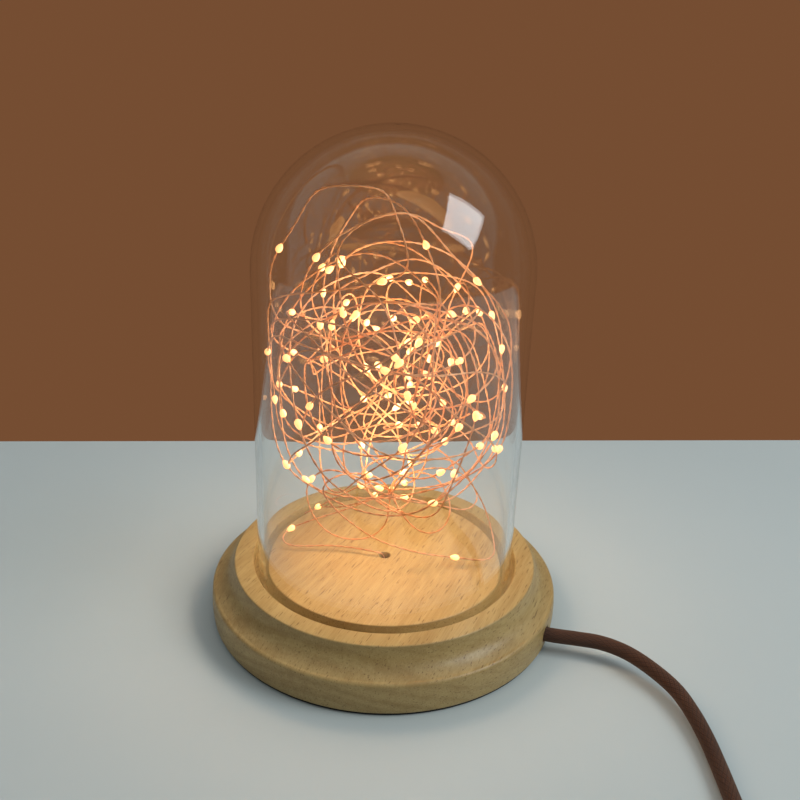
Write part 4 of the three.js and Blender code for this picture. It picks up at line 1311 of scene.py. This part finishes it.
    def _glow(self) -> None:
        """The light that the drops cast, from soft warm lamps up the heap that no ray sees themselves."""
        for height in self.glow_heights:
            data = bpy.data.lights.new("glow", "POINT")
            data.energy = self.glow_power / len(self.glow_heights)
            data.color = self.glow_tint
            data.shadow_soft_size = self.glow_radius
            glow = bpy.data.objects.new("glow", data)
            glow.location = (0, 0, height)
            glow.visible_camera = glow.visible_glossy = glow.visible_transmission = False
            bpy.context.scene.collection.objects.link(glow)

    def _hang(self, middle: Array, tangent: Array, side: Array, other: Array) -> None:
        """Light drops: beads along the wire, fuller at one end. With s from -1 to 1 along a bead, its radius
        is sqrt(1 - s s) (1 + swell s).

        Args:
            middle: the drops' places on the wire.
            tangent: the wire's way at each.
            side: a direction square to that way.
            other: the direction square to both.
        """
        share = np.linspace(-self.drop_reach, self.drop_reach, self.drop_rings)
        heat = np.sqrt(1 - share**2)
        radius = (self.drop_radius * heat * (1 + self.drop_swell * share))[:, None, None]
        along = (share * self.drop_length / 2)[:, None, None]
        angle = np.linspace(0, 2 * np.pi, self.drop_sides, endpoint=False)
        shell = Shell()
        for m, t, s, o in zip(middle, tangent, side, other):
            ring = np.cos(angle)[:, None] * s + np.sin(angle)[:, None] * o
            shell.add(m + along * t + radius * ring[None], value=heat)
        drops = shell.make("light_drops", Body.BASE, 180, "heat")
        nodes = [name for name in frame["nodes"] if name.startswith("led_drop_")]
        dressed(drops, LitResin().make(), "lit_drop", *nodes)


@dataclass
class HandSwitch:
    """The switch on the lead: a lower shell, a cover with a window, and a rocker in it."""

    length: float = 60
    width: float = 24
    height: float = 16
    corner: float = 9
    split: float = 9
    wall: float = 2
    top_round: float = 2.5
    edge_round: float = 0.8
    window_length: float = 22
    window_width: float = 10.6
    window_round: float = 0.9
    rocker_length: float = 20
    rocker_width: float = 10
    rocker_depth: float = 5.5
    rocker_proud: float = 1.4
    rocker_dish: float = 10.0
    rocker_ease: float = 0.4
    rocker_curve: float = 1.2
    rocker_rows: int = 17
    pivot_drop: float = 3
    window_corner: float = 1
    corner_steps: int = 10
    seam: float = 0.2
    seam_ease: float = 0.3
    kept: tuple[str, ...] = ("switch_screw_1", "switch_screw_2", "switch_terminal_1", "switch_terminal_2")

    def __post_init__(self) -> None:
        """Takes the switch's place from the frame."""
        low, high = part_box("switch_base")
        self.middle = np.array([(low.x + high.x) / 2, (low.y + high.y) / 2, 0.0])

    def build(self) -> list[bpy.types.Object]:
        """Moulds the shells and the rocker.

        Returns:
            The new pieces, and the frame's own that stay in them.
        """
        black = MouldedPlastic("black_moulding", (0.022, 0.022, 0.023)).make()
        pieces = [
            dressed(self._lower(), black, "black_plastic", "switch_base"),
            dressed(self._cover(), black, "black_plastic", "switch_cover"),
            dressed(self._rocker(), black, "black_plastic", "switch_rocker"),
        ]
        return pieces + [frame["nodes"][name] for name in self.kept]

    def _level(self, inset: float, high: float) -> tuple[Array, float]:
        """The switch's outline drawn in by an inset, at a height."""
        long, wide, corner = self.length - 2 * inset, self.width - 2 * inset, self.corner - inset
        return rounded_outline(long, wide, corner, self.corner_steps), high

    def _window_level(self, out: float, high: float) -> tuple[Array, float]:
        """The outline of the rocker's window grown by a distance, at a height."""
        long, wide = self.window_length + 2 * out, self.window_width + 2 * out
        return rounded_outline(long, wide, self.window_corner + out, self.corner_steps), high

    def _placed(self, levels: list[tuple[Array, float]]) -> Array:
        """Levels as a grid at the switch's place."""
        outlines, heights = zip(*levels)
        return stacked_grid(list(outlines), list(heights)) * MM + self.middle

    def _lower(self) -> bpy.types.Object:
        """The lower shell: a tray with a rounded foot and a rim that meets the cover."""
        ease = self.edge_round
        foot = [self._level(ease - x, z) for x, z in arc((0, ease), (ease, ease), (-90, 0), 5)]
        rim = [self._level(0, self.split - self.seam_ease), self._level(self.seam_ease, self.split)]
        rim.append(self._level(self.wall, self.split))
        inside = [self._level(self.wall, self.wall + ease), self._level(self.wall + ease, self.wall)]
        return Shell().add(self._placed(foot + rim + inside)).make("switch_tray", Body.BASE)

    def _cover(self) -> bpy.types.Object:
        """The cover: its edge rounds over to a flat top, which dips into the rocker's window."""
        start = self.split + self.seam
        top, ease = self.top_round, self.window_round
        wall = [self._level(self.seam_ease, start), self._level(0, start + self.seam_ease)]
        over = [self._level(top - x, self.height - top + z) for x, z in arc((0, 0), (top, top), (0, 90), 8)]
        rounds = arc((ease, 0), (ease, ease), (90, 180), 6)
        rim = [self._window_level(x, self.height - ease + z) for x, z in rounds]
        well = [self._window_level(0, start)]
        return Shell().add(self._placed(wall + over + rim + well), ring=True).make("switch_top", Body.BASE)

    def _rocker(self) -> bpy.types.Object:
        """The rocker: a side outline with a dished V top, carried across its width with eased edges, and
        tilted on its axle as the frame's rocker is."""
        half, top = self.rocker_length / 2, self.pivot_drop + self.rocker_proud
        rise = half * math.tan(math.radians(self.rocker_dish))
        share = np.linspace(-1, 1, self.rocker_rows)
        crown = np.stack([half * share, top + rise * np.abs(share) ** self.rocker_curve], 1)
        belly = np.array([[half / 2, top - self.rocker_depth], [-half / 2, top - self.rocker_depth]])
        sides = np.array([[half, 0.0]]), np.array([[-half, 0.0]])
        outline = np.concatenate([crown, sides[0], belly, sides[1]])
        middle = outline.mean(0)
        reach, ease = self.rocker_width / 2, self.rocker_ease
        across = [(-reach, 1 - 2 * ease / self.rocker_length), (ease - reach, 1.0)]
        across += [(-y, scale) for y, scale in reversed(across)]
        rings = [np.insert(middle + (outline - middle) * scale, 1, y, axis=1) for y, scale in across]
        tilt = np.array(Matrix.Rotation(math.radians(self.rocker_dish), 3, "Y"))
        axle = np.array([0, 0, self.height - self.pivot_drop])
        grid = (np.stack(rings) @ tilt.T + axle) * MM + self.middle
        return Shell().add(grid).make("switch_key", Body.ROCKER, 30)


@dataclass
class LeadPlug:
    """The low-voltage plug: a ribbed boot, a moulded body and a steel shell; its tongue and contacts are
    the frame's own."""

    boot_length: float = 15
    boot_narrow: float = 3.3
    boot_wide: float = 3.9
    ribs: int = 5
    rib_depth: float = 0.45
    ribbed_share: float = 0.8
    boot_rows: int = 61
    boot_sides: int = 28
    body_corner: float = 2
    body_ease: float = 0.8
    shell_wall: float = 0.5
    shell_corner: float = 0.5
    pocket_gap: float = 0.15
    pocket_corner: float = 0.6
    kept: tuple[str, ...] = ("plug_tongue", *(f"plug_contact_{place}" for place in range(1, 5)))

    def build(self) -> list[bpy.types.Object]:
        """Moulds the boot and the body and folds the shell.

        Returns:
            The new pieces, and the frame's own that stay in them.
        """
        black = MouldedPlastic("plug_moulding", (0.020, 0.020, 0.021), 0.5).make()
        steel = PlatedMetal("plug_steel", (0.62, 0.62, 0.63)).make()
        pieces = [
            dressed(self._boot(), black, "black_plastic", "plug_boot"),
            dressed(self._body(), black, "black_plastic", "plug_body"),
            dressed(self._shell(), steel, "steel", "plug_shell"),
        ]
        return pieces + [frame["nodes"][name] for name in self.kept]

    def _boot(self) -> bpy.types.Object:
        """The boot: a cone whose radius dips by depth times sin(pi ribs s)^2 between its ribs."""
        low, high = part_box("plug_boot")
        middle = np.array([low.x, (low.y + high.y) / 2, (low.z + high.z) / 2])
        share = np.linspace(0, 1, self.boot_rows)
        cone = self.boot_narrow + (self.boot_wide - self.boot_narrow) * share
        dip = np.sin(np.pi * self.ribs * share) ** 2 * (share < self.ribbed_share)
        radius = cone - self.rib_depth * dip
        path = share[:, None] * [self.boot_length * MM, 0, 0] + middle
        return Shell().add(ring_grid(path, radius * MM, self.boot_sides)).make("plug_sleeve", Body.BASE)

    def _along(self, levels: list[tuple[Array, float]], middle: Array) -> Array:
        """Outlines across Y and Z laid at places along X."""
        rings = [np.column_stack([np.full(len(outline), place), outline]) for outline, place in levels]
        return np.stack(rings) + middle

    def _body(self) -> bpy.types.Object:
        """The body: a rounded bar with eased ends and a pocket for the shell."""
        low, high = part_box("plug_body")
        shell_low, shell_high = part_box("plug_shell")
        middle = np.array([0, (low.y + high.y) / 2, (low.z + high.z) / 2])
        wide, tall, ease = high.y - low.y, high.z - low.z, self.body_ease * MM
        corner = self.body_corner * MM

        def level(inset: float, place: float) -> tuple[Array, float]:
            """The body's outline drawn in, at a place along X."""
            return rounded_outline(wide - 2 * inset, tall - 2 * inset, corner - inset * 0.5), place

        start = [level(ease - x, low.x + ease + z) for x, z in arc((0, 0), (ease, ease), (-90, 0), 5)]
        end = [level(ease - x, high.x - ease + z) for x, z in arc((0, 0), (ease, ease), (0, 90), 5)]
        room = shell_high - shell_low
        gap = self.pocket_gap * MM
        pocket = rounded_outline(room.y + 2 * gap, room.z + 2 * gap, self.pocket_corner * MM)
        inside = [(pocket, high.x), (pocket, shell_low.x - gap)]
        return Shell().add(self._along(start + end + inside, middle)).make("plug_grip", Body.BASE)

    def _shell(self) -> bpy.types.Object:
        """The shell: a folded steel tube, open at both ends."""
        low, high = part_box("plug_shell")
        middle = np.array([0, (low.y + high.y) / 2, (low.z + high.z) / 2])
        wide, tall, wall = high.y - low.y, high.z - low.z, self.shell_wall * MM
        corner = self.shell_corner * MM
        outer = rounded_outline(wide, tall, corner)
        eased = rounded_outline(wide - wall * 0.5, tall - wall * 0.5, corner * 0.8)
        inner = rounded_outline(wide - 2 * wall, tall - 2 * wall, corner * 0.5)
        ease = wall * 0.4
        levels = [(outer, low.x), (outer, high.x - ease), (eased, high.x), (inner, high.x), (inner, low.x)]
        return Shell().add(self._along(levels, middle), ring=True).make("plug_can", Body.BASE)


@dataclass
class FrameFinishes:
    """Finishes for the small pieces of the frame that show as they are."""

    def dress(self) -> None:
        """Gives each remaining node the finish of its material slot in the record."""
        made = {
            "steel": PlatedMetal("screw_steel", (0.58, 0.58, 0.59), 0.3).make(),
            "brass": PlatedMetal("contact_brass", (0.72, 0.50, 0.20), 0.28).make(),
            "white_plastic": MouldedPlastic("pale_moulding", (0.72, 0.72, 0.69)).make(),
            "black_plastic": MouldedPlastic("dark_moulding", (0.03, 0.03, 0.031)).make(),
            "black_sheath": MouldedPlastic("black_sheath", (0.014, 0.014, 0.015), 0.5).make(),
            "red_sheath": MouldedPlastic("red_sheath", (0.42, 0.02, 0.018), 0.5).make(),
            "resistor_body": MouldedPlastic("resistor_body", (0.42, 0.32, 0.2), 0.45).make(),
        }
        slots = {part["node"]: part["material_slot"] for part in frame["record"]["subparts"]}
        for name, node in frame["nodes"].items():
            if slots[name] in made and not node.hide_render:
                node.data.materials.clear()
                node.data.materials.append(made[slots[name]])
                LOG.info("%s: %s", name, slots[name])


def main() -> None:
    """Builds the lamp's pieces in order."""
    logging.basicConfig(level=logging.INFO, format="%(message)s")
    Studio().build()
    switch = HandSwitch().build()
    plug = LeadPlug().build()
    lead = TextileLead()
    lead.build(switch, plug)
    TurnedBase().build(lead)
    GlassDome().build()
    LightString().build()
    FrameFinishes().dress()


if __name__ == "__main__":
    main()
